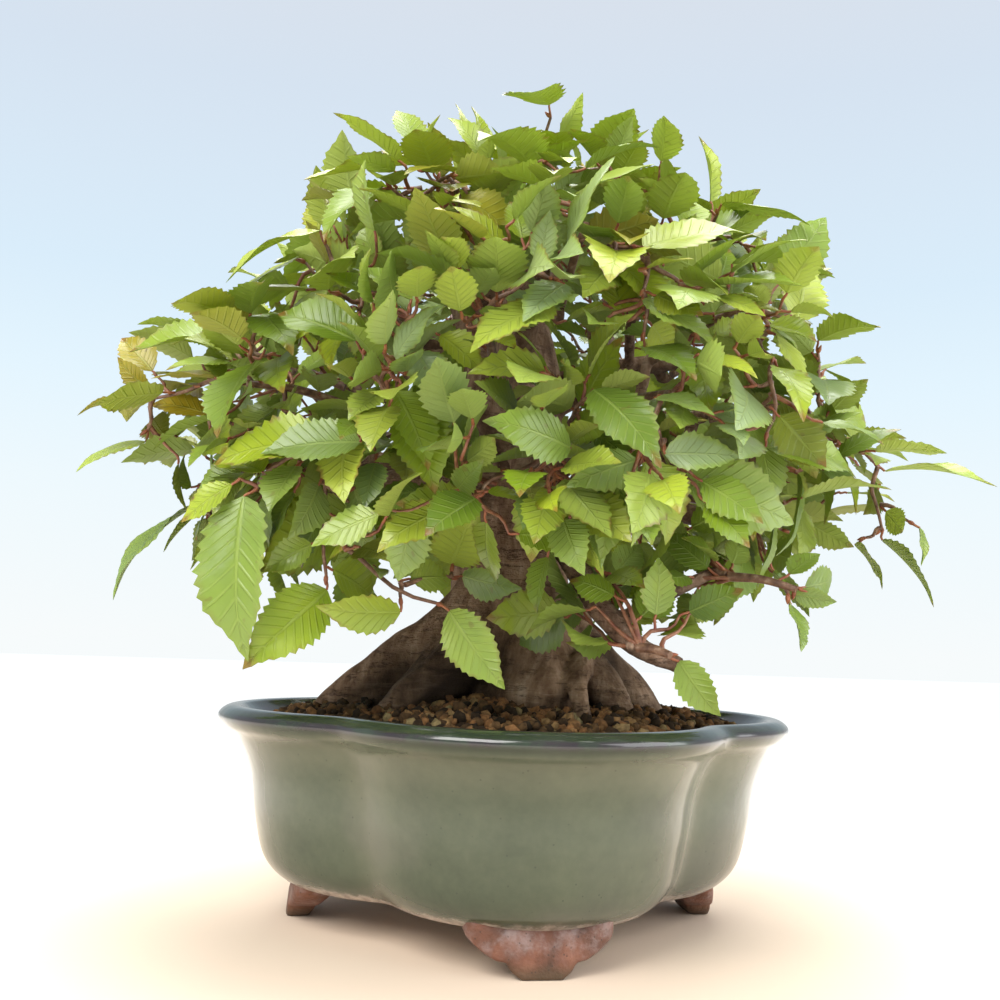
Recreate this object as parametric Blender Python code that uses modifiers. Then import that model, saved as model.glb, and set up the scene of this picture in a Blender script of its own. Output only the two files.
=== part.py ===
"""Korean hornbeam bonsai in a glazed four-lobed pot, in metres, +Z up.

The pot's lobes point along X and Y, and the tree's front is turned a little from the pot's.
Everything is planned in centimetres round the pot's axis, and at the end the whole is shifted
so that the origin lies on the standing surface, under the middle of its bounding box.
"""

import math
import random

import bmesh
import bpy
import numpy as np
from mathutils import Matrix, Vector
from mathutils.bvhtree import BVHTree

CM = 0.01
GAP = 0.03  # between pieces that touch on the real thing
FLAT_ANGLE = math.radians(1.5)

# Pot
RIM_RADIUS = 7.8
RIM_HEIGHT = 5.62
BASE_RADIUS = 5.92
BASE_HEIGHT = 1.12
FLOOR_HEIGHT = 1.85
LIP_INNER_RADIUS = 7.1
LOBE_SHARE_AT_RIM = 0.625  # a lobe's own radius as a share of the pot's
LOBE_SHARE_AT_BASE = 0.55
CREASE_SOFTNESS = 0.07
TURN_STEPS = 32
DRAIN_RADIUS = 0.95
FOOT_BURY = 0.35
FOOT_DEPTH = 1.1
FOOT_TAPER = 0.45  # share of the depth that is lost at the sole
FOOT_LEAN = 0.35
FOOT_BEND_RADIUS = 5.5
FRONT_FOOT_RADIUS = 5.4
SIDE_FOOT_RADIUS = 5.1
SOLE_HEIGHT = 0.25
# Half of a foot's outline below the base: half width and height, down to the sole
FOOT_SCROLL = [(1.68, 1.2), (1.6, 1.02), (1.3, 0.78), (1.04, 0.64), (0.8, 0.58), (0.66, 0.4),
               (0.46, SOLE_HEIGHT)]

POT_INSIDE = [(0, FLOOR_HEIGHT), (5.3, FLOOR_HEIGHT), (6.2, 3.9), (6.6, 4.95)]  # radius and height

# Drain screen and the wire that holds it
SCREEN_SIDE = 3.0
SCREEN_THICK = 0.1
SCREEN_HOLE = 0.46
SCREEN_PITCH = 0.72
WIRE_RADIUS = 0.06
WIRE_SPREAD = 1.7

# Soil
SOIL_EDGE_HEIGHT = 5.22
SOIL_MOUND = 0.75
GRAIN_HEIGHT = 0.07

# Tree
BARK_ROUGHNESS = 0.11  # share of the trunk's radius
TREE_TURN = math.radians(-9.0)
EYE = np.array([0.0, -29.8, 7.4])  # where the front view is taken from
DOME_CENTRE = np.array([0.1, 0.0, 13.2])
DOME_HALF = np.array([9.7, 8.7, 8.5])
DOME_DROP = 5.4  # from the dome's middle down to the lowest skirt
SKIRT_HEIGHT = 9.6  # leaves that hang below it, clear of the dome, are in front of the tree
SKIRT_DEPTHS = ([7.5, 9.0], [-6.2, -5.2])  # heights, and the depth at each
LEAF_DEPTH = 1.0  # a leaf's tip is at most that much nearer or further than its root
SPRAYS_BY_RULE = 32
SPRAY_BASE_LEVEL = 0.56
SPRAY_END_LEVEL = 0.84
LOWEST_SINE = -0.5
TURNS_TRIED = (0, 0.12, -0.12, 0.24, -0.24, 0.36, -0.36)
GOLDEN_ANGLE = math.pi * (3 - math.sqrt(5))
TWIG_RADIUS = 0.13
TWIGLET_RADIUS = 0.07
LONGEST_TWIGLET = 3.6
LEAF_THICK = 0.068
STALK_WIDTH = 0.11
STALK_END = 0.026  # half its width where it ends inside the wood
SMALL_LEAF = 2.6  # shorter blades have fewer teeth
LEAVES_BY_RULE = 132
TRIES_PER_LEAF = 16
CLEARANCE = 0.06
LOWEST_LEAF = 6.3
LOWEST_LEAF_OVER_RIM = 5.95
SEED = 11

# Spines of the wood: points x, y, z and the radius there
TRUNK = [(0.4, 0.3, 4.9, 1.9), (0.4, 0.2, 6.0, 2.0), (0.2, 0.3, 7.6, 1.85), (0.0, 0.3, 9.4, 1.6),
         (-0.1, 0.2, 11.2, 1.4), (0.1, 0.1, 13.2, 1.2), (0.2, 0.2, 15.2, 1.0), (0.0, 0.3, 17.2, 0.7),
         (-0.2, 0.3, 18.8, 0.42)]
ROOTS = [
    [(-0.2, 0.2, 8.6, 1.4), (-1.6, 0.1, 7.4, 1.2), (-3.1, 0.0, 6.6, 0.9), (-4.5, -0.2, 5.75, 0.62),
     (-5.4, -0.3, 4.9, 0.4)],
    [(0.6, -0.5, 8.7, 1.1), (0.7, -1.1, 7.1, 1.1), (0.8, -1.5, 5.9, 1.25), (0.8, -1.7, 4.9, 0.9)],
    [(1.0, 0.2, 8.2, 1.1), (2.2, 0.0, 6.9, 0.9), (3.4, -0.1, 6.0, 0.6), (4.3, -0.2, 4.9, 0.4)],
    [(0.3, 1.1, 7.8, 1.1), (0.7, 2.4, 6.3, 0.7), (1.0, 3.5, 4.9, 0.4)],
    [(-0.7, 0.9, 7.9, 1.0), (-2.0, 2.2, 6.3, 0.7), (-3.0, 3.2, 4.9, 0.4)],
    [(-0.7, -0.5, 7.7, 1.0), (-1.9, -1.5, 6.5, 0.75), (-2.9, -2.4, 5.7, 0.5), (-3.6, -3.0, 4.9, 0.35)],
    [(1.5, -0.7, 7.4, 0.6), (2.5, -1.6, 6.3, 0.5), (3.3, -2.4, 4.9, 0.32)],
    [(2.1, -0.9, 7.35, 0.3), (1.9, -2.1, 6.9, 0.26), (1.8, -2.9, 6.1, 0.25), (2.2, -3.4, 4.9, 0.22)],
]
LIMBS = [
    [(0.2, -0.7, 12.9, 0.55), (0.2, -2.2, 12.3, 0.48), (0.6, -3.2, 11.0, 0.42), (1.4, -4.2, 9.6, 0.36),
     (2.0, -4.9, 8.5, 0.3), (2.9, -5.5, 7.5, 0.26), (3.9, -5.9, 7.05, 0.2)],
    [(-0.1, -0.8, 12.6, 0.5), (-0.8, -2.2, 13.6, 0.42), (-1.1, -2.3, 15.0, 0.34), (-1.7, -2.1, 16.6, 0.26)],
    [(-0.5, -0.7, 11.6, 0.5), (-2.2, -2.1, 11.7, 0.4), (-4.0, -2.6, 11.3, 0.32), (-5.4, -2.9, 10.8, 0.24)],
    [(-0.8, 0.2, 12.0, 0.6), (-2.8, 0.4, 12.6, 0.44), (-4.4, 0.2, 12.3, 0.32), (-5.8, 0.0, 11.9, 0.22)],
    [(-0.6, 0.1, 14.3, 0.5), (-2.3, -0.4, 15.7, 0.36), (-3.9, -0.7, 16.3, 0.28), (-5.2, -0.9, 16.4, 0.2)],
    [(1.0, 0.1, 11.4, 0.55), (2.8, -0.2, 11.6, 0.42), (4.6, -0.4, 11.3, 0.32), (6.2, -0.7, 10.8, 0.22)],
    [(0.8, 0.2, 14.2, 0.5), (2.5, 0.5, 15.4, 0.36), (4.1, 0.5, 15.8, 0.27), (5.3, 0.4, 15.8, 0.2)],
    [(0.8, -0.6, 12.2, 0.45), (2.3, -2.3, 12.7, 0.36), (3.7, -3.3, 12.4, 0.27), (4.6, -3.9, 11.8, 0.2)],
    [(-0.3, 1.0, 12.8, 0.5), (-1.7, 2.6, 13.1, 0.38), (-2.9, 4.0, 12.8, 0.27), (-3.5, 4.9, 12.3, 0.2)],
    [(0.5, 1.0, 13.0, 0.5), (1.9, 2.6, 13.3, 0.38), (3.2, 3.9, 12.9, 0.27), (4.0, 4.8, 12.3, 0.2)],
    [(0.2, 1.0, 14.8, 0.4), (0.3, 2.4, 15.8, 0.3), (0.3, 3.8, 16.3, 0.2)],
    [(0.1, -0.6, 15.6, 0.4), (0.3, -1.9, 16.9, 0.3), (0.6, -3.1, 17.3, 0.2)],
    [(-0.1, 0.3, 17.2, 0.45), (-1.3, 0.2, 18.3, 0.3), (-2.3, 0.2, 18.8, 0.2)],
    [(0.0, 0.3, 17.4, 0.45), (1.4, 0.4, 18.4, 0.3), (2.4, 0.5, 18.7, 0.2)],
]
# Shoots that leave the dome: start and end of each
EXTRA_SHOOTS = [((2.9, -5.95, 7.45), (3.5, -6.7, 7.3)), ((5.2, -4.6, 9.2), (6.6, -5.4, 8.9))]

# Leaves that show from the front: root x, z and tip x, z on the upright plane through the trunk
SHOWN_LEAVES = [
    (-3.3, 21.6, -6.6, 21.0), (-4.3, 20.8, -6.0, 19.3), (-8.7, 16.1, -11.4, 15.5),
    (-7.6, 16.8, -6.6, 15.7), (-3.6, 21.7, -3.2, 23.0), (0.1, 22.5, -2.7, 22.9),
    (0.3, 22.2, -0.1, 23.5), (2.7, 21.8, 3.2, 23.4), (-2.1, 21.4, -3.6, 21.3),
    (0.6, 18.6, 0.8, 20.3), (1.3, 18.0, 0.1, 16.8), (-3.6, 15.6, -2.3, 17.3),
    (1.2, 17.0, -1.1, 16.3), (-3.0, 15.7, -2.0, 14.4), (5.9, 20.6, 8.6, 20.2),
    (3.6, 19.2, 6.7, 19.9), (5.5, 17.6, 7.3, 18.0), (6.3, 18.8, 8.7, 18.4),
    (8.1, 17.1, 8.4, 19.1), (3.6, 17.6, 5.9, 16.2), (3.9, 16.4, 5.6, 15.4),
    (3.9, 14.5, 5.9, 14.1), (6.9, 15.6, 8.0, 13.9), (3.0, 14.8, 4.2, 16.1),
    (-11.3, 14.0, -12.8, 13.7), (-10.7, 12.9, -12.7, 12.0), (-10.0, 13.4, -12.3, 10.9),
    (-8.9, 13.8, -10.8, 13.9), (-9.3, 11.6, -9.6, 12.6), (-9.4, 10.9, -12.0, 8.4),
    (-8.0, 10.3, -9.6, 9.2), (-7.3, 9.5, -7.3, 7.6), (-5.3, 8.8, -7.5, 6.6),
    (-4.8, 10.8, -7.1, 9.2), (-6.4, 10.2, -8.2, 11.3), (-4.5, 12.8, -7.4, 12.8),
    (-1.7, 8.3, -0.2, 6.2), (-2.6, 8.9, -5.1, 7.6), (-1.6, 10.1, -2.8, 8.9),
    (-1.4, 9.3, 0.3, 9.0), (-2.0, 11.4, -3.7, 10.7), (1.6, 13.1, -0.9, 13.9),
    (3.5, 12.8, 1.5, 12.0), (3.3, 12.1, 2.1, 10.2), (3.1, 7.5, 2.3, 7.9),
    (-1.6, 11.8, -0.9, 12.7), (-1.4, 9.5, -1.0, 11.4), (4.1, 10.7, 5.8, 7.5),
    (6.3, 10.5, 6.4, 8.0), (4.9, 12.4, 8.1, 11.1), (4.3, 13.0, 6.5, 13.0),
    (10.6, 12.7, 13.8, 12.3), (10.5, 10.7, 12.0, 8.9), (9.7, 10.6, 10.6, 9.5),
    (9.8, 11.6, 11.0, 10.9), (7.9, 8.8, 8.2, 7.5), (8.3, 9.3, 9.1, 9.6),
    (8.0, 9.1, 9.2, 8.9), (4.8, 7.0, 6.0, 5.6), (7.2, 13.3, 9.9, 12.6),
    (7.1, 13.2, 5.2, 14.5),
]


def lobed_radius(angle, radius):
    """Four lobes, each a circle set off from the axis. A crease is softened into a rounded valley."""
    share = np.interp(radius, [BASE_RADIUS, RIM_RADIUS], [LOBE_SHARE_AT_BASE, LOBE_SHARE_AT_RIM])
    from_lobe = np.abs((angle + math.pi / 4) % (math.pi / 2) - math.pi / 4)
    to_crease = np.sqrt((math.pi / 4 - from_lobe) ** 2 + CREASE_SOFTNESS**2)
    turn = math.pi / 4 - to_crease
    lobe, offset = share * radius, (1 - share) * radius
    return offset * np.cos(turn) + np.sqrt(lobe**2 - (offset * np.sin(turn)) ** 2)


def material(name, colour, roughness):
    made = bpy.data.materials.new(name)
    made.use_nodes = True
    shader = made.node_tree.nodes["Principled BSDF"]
    shader.inputs["Base Color"].default_value = (*colour, 1)
    shader.inputs["Roughness"].default_value = roughness
    shader.inputs["Metallic"].default_value = 0
    return made


def add(name, mesh, collection):
    piece = bpy.data.objects.new(name, mesh)
    collection.objects.link(piece)
    return piece


def evaluated_copy(piece):
    """The object's mesh with its modifiers applied. A curve comes out as a mesh too."""
    bpy.context.view_layer.update()
    graph = bpy.context.evaluated_depsgraph_get()
    return bpy.data.meshes.new_from_object(piece.evaluated_get(graph))


def welded(mesh):
    shape = bmesh.new()
    shape.from_mesh(mesh)
    bmesh.ops.remove_doubles(shape, verts=shape.verts, dist=1e-6)
    bmesh.ops.recalc_face_normals(shape, faces=shape.faces)
    shape.to_mesh(mesh)
    shape.free()
    return mesh


def points_of(mesh):
    flat = np.empty(len(mesh.vertices) * 3)
    mesh.vertices.foreach_get("co", flat)
    return flat.reshape(-1, 3)


def move_points(mesh, points):
    mesh.vertices.foreach_set("co", np.asarray(points).ravel())
    mesh.update()


def turned(name, section, collection):
    """A section of radius and height, turned round the axis and then drawn out into the four lobes."""
    profile = bpy.data.meshes.new(name)
    points = [(radius * CM, 0, height * CM) for radius, height in section]
    profile.from_pydata(points, [(i, i + 1) for i in range(len(points) - 1)], [])
    piece = add(name, profile, collection)
    screw = piece.modifiers.new("turn", "SCREW")
    screw.steps = screw.render_steps = TURN_STEPS
    screw.use_merge_vertices = True
    screw.merge_threshold = 0.0001
    mesh = welded(evaluated_copy(piece))
    piece.modifiers.clear()
    piece.data = mesh
    where = points_of(mesh)
    radius = np.hypot(where[:, 0], where[:, 1])
    angle = np.arctan2(where[:, 1], where[:, 0])
    grown = np.where(radius > CM, lobed_radius(angle, radius / CM) * CM, radius)
    where[:, 0], where[:, 1] = grown * np.cos(angle), grown * np.sin(angle)
    move_points(mesh, where)
    return piece


def drop(pieces):
    for piece in list(pieces):
        bpy.data.objects.remove(piece)


def boolean(piece, others, operation, solver="EXACT"):
    """Joins or cuts with all the others at once, keeps the result and removes them."""
    helpers = bpy.data.collections.new("helpers")
    bpy.context.scene.collection.children.link(helpers)
    for other in others:
        for owner in list(other.users_collection):
            owner.objects.unlink(other)
        helpers.objects.link(other)
        other.hide_render = True
        other.display_type = "WIRE"
    step = piece.modifiers.new("join", "BOOLEAN")
    step.operation = operation
    step.operand_type = "COLLECTION"
    step.collection = helpers
    step.solver = solver
    step.use_self = solver == "EXACT" and operation == "UNION"
    mesh = evaluated_copy(piece)
    piece.modifiers.clear()
    piece.data = mesh
    drop(helpers.objects)
    bpy.data.collections.remove(helpers)
    tidied(mesh)
    return piece


def tidied(mesh):
    """Drops the loose scraps that a union can leave, and joins faces that lie in one plane."""
    shape = bmesh.new()
    shape.from_mesh(mesh)
    left, bodies = set(shape.verts), []
    while left:
        edge_of_body = [left.pop()]
        body = list(edge_of_body)
        while edge_of_body:
            near = {edge.other_vert(vert) for vert in edge_of_body for edge in vert.link_edges} & left
            left -= near
            edge_of_body = list(near)
            body += edge_of_body
        bodies.append(body)
    bodies.sort(key=len)
    for scrap in bodies[:-1]:
        bmesh.ops.delete(shape, geom=scrap, context="VERTS")
    bmesh.ops.dissolve_limit(shape, angle_limit=FLAT_ANGLE, verts=shape.verts, edges=shape.edges)
    bmesh.ops.triangulate(shape, faces=shape.faces)
    shape.to_mesh(mesh)
    shape.free()


def box(name, centre, size, collection):
    shape = bmesh.new()
    bmesh.ops.create_cube(shape, size=1)
    bmesh.ops.scale(shape, vec=Vector(size) * CM, verts=shape.verts)
    bmesh.ops.translate(shape, vec=Vector(centre) * CM, verts=shape.verts)
    mesh = bpy.data.meshes.new(name)
    shape.to_mesh(mesh)
    shape.free()
    return add(name, mesh, collection)


def cylinder(name, radius, bottom, top, collection):
    shape = bmesh.new()
    bmesh.ops.create_cone(shape, cap_ends=True, segments=20, radius1=radius * CM, radius2=radius * CM,
                          depth=(top - bottom) * CM)
    bmesh.ops.translate(shape, vec=(0, 0, (top + bottom) / 2 * CM), verts=shape.verts)
    mesh = bpy.data.meshes.new(name)
    shape.to_mesh(mesh)
    shape.free()
    return add(name, mesh, collection)


def tube(name, points, radii, sides, collection):
    """A round limb along points in centimetres, as a welded mesh with closed ends."""
    curve = bpy.data.curves.new(name, "CURVE")
    curve.dimensions = "3D"
    curve.bevel_depth = CM
    curve.bevel_resolution = (sides - 4) // 2
    curve.use_fill_caps = True
    spline = curve.splines.new("POLY")
    spline.points.add(len(points) - 1)
    for knot, point, radius in zip(spline.points, points, radii):
        knot.co = (*(np.asarray(point) * CM), 1)
        knot.radius = radius
    guide = add(name + "_guide", curve, collection)
    mesh = welded(evaluated_copy(guide))
    drop([guide])
    return add(name, mesh, collection)


def foot(name, radius, angle, collection):
    """A scrolled foot: its outline from the front, extruded, thinned towards the sole and leaned outwards."""
    top = BASE_HEIGHT + FOOT_BURY
    half = [(FOOT_SCROLL[0][0], top)] + FOOT_SCROLL
    outline = half + [(-x, z) for x, z in reversed(half)]
    curve = bpy.data.curves.new(name, "CURVE")
    curve.dimensions = "2D"
    curve.fill_mode = "BOTH"
    curve.extrude = FOOT_DEPTH / 2 * CM
    spline = curve.splines.new("POLY")
    spline.points.add(len(outline) - 1)
    spline.use_cyclic_u = True
    for knot, (x, z) in zip(spline.points, outline):
        knot.co = (x * CM, z * CM, 0, 1)
    guide = add(name + "_guide", curve, collection)
    mesh = welded(evaluated_copy(guide))
    drop([guide])
    across, up, out = points_of(mesh).T
    fall = (top * CM - up) / ((top - SOLE_HEIGHT) * CM)
    out = radius * CM + out * (1 - FOOT_TAPER * fall) + FOOT_LEAN * CM * fall
    out = out - across**2 / (2 * FOOT_BEND_RADIUS * CM)
    c, s = math.cos(angle), math.sin(angle)
    move_points(mesh, np.stack([out * c - across * s, out * s + across * c, up], axis=1))
    return add(name, welded(mesh), collection)


def pot(collection, glaze):
    section = POT_INSIDE + [
        (LIP_INNER_RADIUS, RIM_HEIGHT - 0.14), (7.27, RIM_HEIGHT), (7.58, RIM_HEIGHT - 0.02),
        (RIM_RADIUS, RIM_HEIGHT - 0.22), (7.68, RIM_HEIGHT - 0.48), (7.3, RIM_HEIGHT - 0.82), (6.92, 3.95),
        (6.7, 2.75), (6.42, 1.8), (BASE_RADIUS, BASE_HEIGHT + 0.16), (5.35, BASE_HEIGHT), (0, BASE_HEIGHT),
    ]
    body = turned("pot", section, collection)
    quarter = math.pi / 2
    feet = [
        foot(f"foot_{turn}", FRONT_FOOT_RADIUS if turn % 2 else SIDE_FOOT_RADIUS, turn * quarter, collection)
        for turn in range(4)
    ]
    boolean(body, feet, "UNION")
    drain = cylinder("drain", DRAIN_RADIUS, BASE_HEIGHT - 0.5, FLOOR_HEIGHT + 0.5, collection)
    boolean(body, [drain], "DIFFERENCE")
    body.data.materials.append(glaze)
    return body


def screen(collection, plastic):
    """A flat net over the drain hole."""
    middle = FLOOR_HEIGHT + GAP + SCREEN_THICK / 2
    plate = box("drain_screen", (0, 0, middle), (SCREEN_SIDE, SCREEN_SIDE, SCREEN_THICK), collection)
    hole = (SCREEN_HOLE, SCREEN_HOLE, 1)
    holes = [
        box(f"mesh_{i}_{j}", (i * SCREEN_PITCH, j * SCREEN_PITCH, middle), hole, collection)
        for i in (-1, 0, 1)
        for j in (-1, 0, 1)
    ]
    boolean(plate, holes, "DIFFERENCE")
    plate.data.materials.append(plastic)
    return plate


def screen_wire(collection, metal):
    """One wire over the net, down through two of its holes and bent out under the pot."""
    over = FLOOR_HEIGHT + 2 * GAP + SCREEN_THICK + WIRE_RADIUS
    under = BASE_HEIGHT - GAP - WIRE_RADIUS
    half = [(SCREEN_PITCH, under), (SCREEN_PITCH, over)]
    route = [(-WIRE_SPREAD, under)] + [(-x, z) for x, z in half] + half[::-1] + [(WIRE_SPREAD, under)]
    points = [(x, 0, z) for x, z in route]
    wire = tube("screen_wire", points, [WIRE_RADIUS] * len(points), 6, collection)
    wire.data.materials.append(metal)
    return wire


def soil_height(x, y):
    """The mound, highest round the trunk, with a grain of small bumps."""
    across = np.hypot(x, y) / LIP_INNER_RADIUS
    grain = np.sin(x * 5.3 + 1.3 * np.sin(y * 4.1)) * np.sin(y * 4.7 + 1.1 * np.sin(x * 3.7))
    return SOIL_EDGE_HEIGHT + SOIL_MOUND * np.clip(1 - across**2, 0, 1) + GRAIN_HEIGHT * grain


def room_above_floor(name, width, depth, top, collection):
    """A cutter from under the soil up to a height."""
    low = FLOOR_HEIGHT - 0.1
    return box(name, (0, 0, (top + low) / 2), (width, depth, top - low), collection)


def soil(collection, earth):
    bottom = FLOOR_HEIGHT + GAP
    side = [(radius - 1.5 * GAP, height) for radius, height in POT_INSIDE[2:]]
    top = [(0, 6.0), (2.4, 5.8), (4.1, 5.6), (5.6, 5.4), (side[-1][0] + 0.2, SOIL_EDGE_HEIGHT)]
    section = top + side[::-1] + [(POT_INSIDE[1][0] - GAP, bottom), (0, bottom)]
    body = turned("soil", section, collection)
    where = points_of(body.data)
    x, y = where[:, 0] / CM, where[:, 1] / CM
    upper = (where[:, 2] > (SOIL_EDGE_HEIGHT - 0.01) * CM) & (np.hypot(x, y) < 6.2)
    where[:, 2] = np.where(upper, soil_height(x, y) * CM, where[:, 2])
    move_points(body.data, where)
    room = 4 * GAP
    net_top = bottom + SCREEN_THICK + 3 * GAP
    wire_top = net_top + 2 * WIRE_RADIUS + GAP
    net = room_above_floor("net_room", SCREEN_SIDE + room, SCREEN_SIDE + room, net_top, collection)
    wire_width = 2 * (WIRE_RADIUS + SCREEN_PITCH) + room
    wire = room_above_floor("wire_room", wire_width, 2 * WIRE_RADIUS + room, wire_top, collection)
    boolean(body, [net, wire], "DIFFERENCE")
    spines = [TRUNK[:3]] + ROOTS
    grown = [root_tube(f"hole_{i}", spine, GAP * 1.6, collection) for i, spine in enumerate(spines)]
    stub = grown.pop(0)
    boolean(stub, grown, "UNION")
    boolean(body, [stub], "DIFFERENCE")
    body.data.materials.append(earth)
    return body


def root_tube(name, root, more, collection):
    """A root, or with more than 0 the hole that it stands in, thicker and longer by that much."""
    points = np.array([knot[:3] for knot in root])
    if more:
        low = int(np.argmin(points[:, 2]))
        points[low, 2] -= more
    sides = 12 if root[0][3] > 1.8 else 8
    piece = tube(name, points, [knot[3] + more for knot in root], sides, collection)
    piece.data.transform(Matrix.Rotation(TREE_TURN, 4, "Z"))
    return piece


def unit(vector):
    return vector / np.linalg.norm(vector)


def dome_level(points):
    """How far out points lie: 1 on the canopy's surface, 0 at its middle."""
    away = np.asarray(points) - DOME_CENTRE
    half_height = np.where(away[..., 2] > 0, DOME_HALF[2], DOME_DROP)
    flat2 = (away[..., 0] / DOME_HALF[0]) ** 2 + (away[..., 1] / DOME_HALF[1]) ** 2
    return np.sqrt(flat2 + (away[..., 2] / half_height) ** 2)


def dome_point(azimuth, sine, level):
    """A point at a level of the dome, by its azimuth and the sine of its elevation."""
    flat = math.sqrt(1 - sine * sine)
    half_height = DOME_HALF[2] if sine > 0 else DOME_DROP
    out = np.array([flat * math.cos(azimuth), flat * math.sin(azimuth), sine])
    return DOME_CENTRE + out * level * np.array([DOME_HALF[0], DOME_HALF[1], half_height])


def dome_normal(point):
    away = point - DOME_CENTRE
    half_height = DOME_HALF[2] if away[2] > 0 else DOME_DROP
    return unit(away / np.array([DOME_HALF[0] ** 2, DOME_HALF[1] ** 2, half_height**2]))


def sight_point(x, z, level):
    """Where the line of sight through a point of the trunk's plane meets the canopy, or passes it nearest."""
    target = np.array([x, 0.0, z])
    steps = np.linspace(0.62, 1.05, 216)[:, None]
    line = EYE + (target - EYE) * steps
    levels = dome_level(line)
    inside = np.flatnonzero(levels <= level)
    if len(inside):
        return line[inside[0]]
    if z < SKIRT_HEIGHT:
        return at_depth(target, np.interp(z, *SKIRT_DEPTHS))
    return line[int(np.argmin(levels))]


def at_depth(target, depth):
    """Where the line of sight through a point passes a plane of equal depth."""
    return EYE + (target - EYE) * (depth - EYE[1]) / (target[1] - EYE[1])


def segment_distance(points, starts, ends):
    """Distance of every point to every segment."""
    along = ends - starts
    length2 = np.maximum((along**2).sum(axis=1), 1e-9)
    away = points[:, None, :] - starts[None]
    share = np.clip((away * along[None]).sum(axis=2) / length2[None], 0, 1)
    return np.linalg.norm(away - share[..., None] * along[None], axis=2)


SMALL_LEAF_STATIONS = [(0.14, 1.0), (0.42, 1.08), (0.58, 0.8)]
LARGE_LEAF_STATIONS = [(0.12, 1.0), (0.34, 1.07), (0.5, 0.82), (0.68, 1.08)]


class Leaf:
    """A toothed blade on a short stalk, folded along its midrib and arched over its length."""

    def __init__(self, root, tip, facing, width, fold, arch):
        self.root = root
        self.tip = tip
        self.ahead = unit(tip - root)
        self.facing = unit(facing - self.ahead * facing.dot(self.ahead))
        self.left = np.cross(self.facing, self.ahead)
        self.length = np.linalg.norm(tip - root)
        self.width = width * self.length
        self.fold = fold
        self.arch = arch

    def point(self, along, across):
        """Along runs from 0 at the blade's base to 1 at its tip, and across from -1 to 1 over its width."""
        half = self.width / 2 * math.sin(math.pi * max(along, 0.0) ** 0.72) ** 0.85 if 0 < along < 1 else 0.0
        sideways = across * half
        if along <= 0:
            sideways = across * STALK_WIDTH / 2
        lift = abs(sideways) * math.tan(self.fold)
        lift += self.arch * self.length * 4 * max(along, 0.0) * (1 - along)
        forward = self.ahead * along * self.length
        return self.root + forward + self.left * sideways + self.facing * lift

    def rim(self, grow):
        """The toothed outline from the base round by the right side, the tip and the left side."""
        stations = SMALL_LEAF_STATIONS if self.length < SMALL_LEAF else LARGE_LEAF_STATIONS
        right = [(s, -v * grow) for s, v in stations]
        left = [(s, v * grow) for s, v in reversed(stations)]
        return [(0, -1)] + right + [(1, 0)] + left + [(0, 1)]

    def blade(self, thick, grow=1.0):
        """Points of both faces, and their triangles, split alike. The stalk's end stays open."""
        rim = self.rim(grow)
        top = np.array([self.point(s, v) for s, v in rim] + [self.point(0.4, 0)])
        edge, size = len(rim), len(rim) + 1
        upper = [(edge, i, (i + 1) % edge) for i in range(edge)]
        lower = [(a + size, c + size, b + size) for a, b, c in upper]
        wall = []
        for i in range(edge - 1):
            wall += [(i, i + size, i + 1 + size), (i, i + 1 + size, i + 1)]
        points = np.concatenate([top, top - self.facing * thick]) + self.facing * thick / 2
        return points, upper + lower + wall

    def solid(self, thick=LEAF_THICK, grow=1.0):
        """The closed blade by itself."""
        points, faces = self.blade(thick, grow)
        size = len(points) // 2
        last = size - 2
        return points, faces + [(last, last + size, size), (last, size, 0)]

    def with_stalk(self, start):
        """The blade with its stalk back to the start, as one closed piece."""
        points, faces = self.blade(LEAF_THICK)
        size = len(points) // 2
        last = size - 2
        ring = [0, last, last + size, size]
        back = unit(self.root - start)
        left = unit(self.left - back * self.left.dot(back))
        up = np.cross(back, left)
        corners = [start + STALK_END * (u * up + v * left) for u, v in ((1, -1), (1, 1), (-1, 1), (-1, -1))]
        end = list(range(len(points), len(points) + 4))
        for i in range(4):
            j = (i + 1) % 4
            faces += [(ring[i], ring[j], end[j]), (ring[i], end[j], end[i])]
        faces += [(end[0], end[1], end[2]), (end[0], end[2], end[3])]
        return np.concatenate([points, corners]), faces

    def tree(self, thick, grow):
        verts, faces = self.solid(thick, grow)
        return BVHTree.FromPolygons(verts.tolist(), faces)


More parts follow.
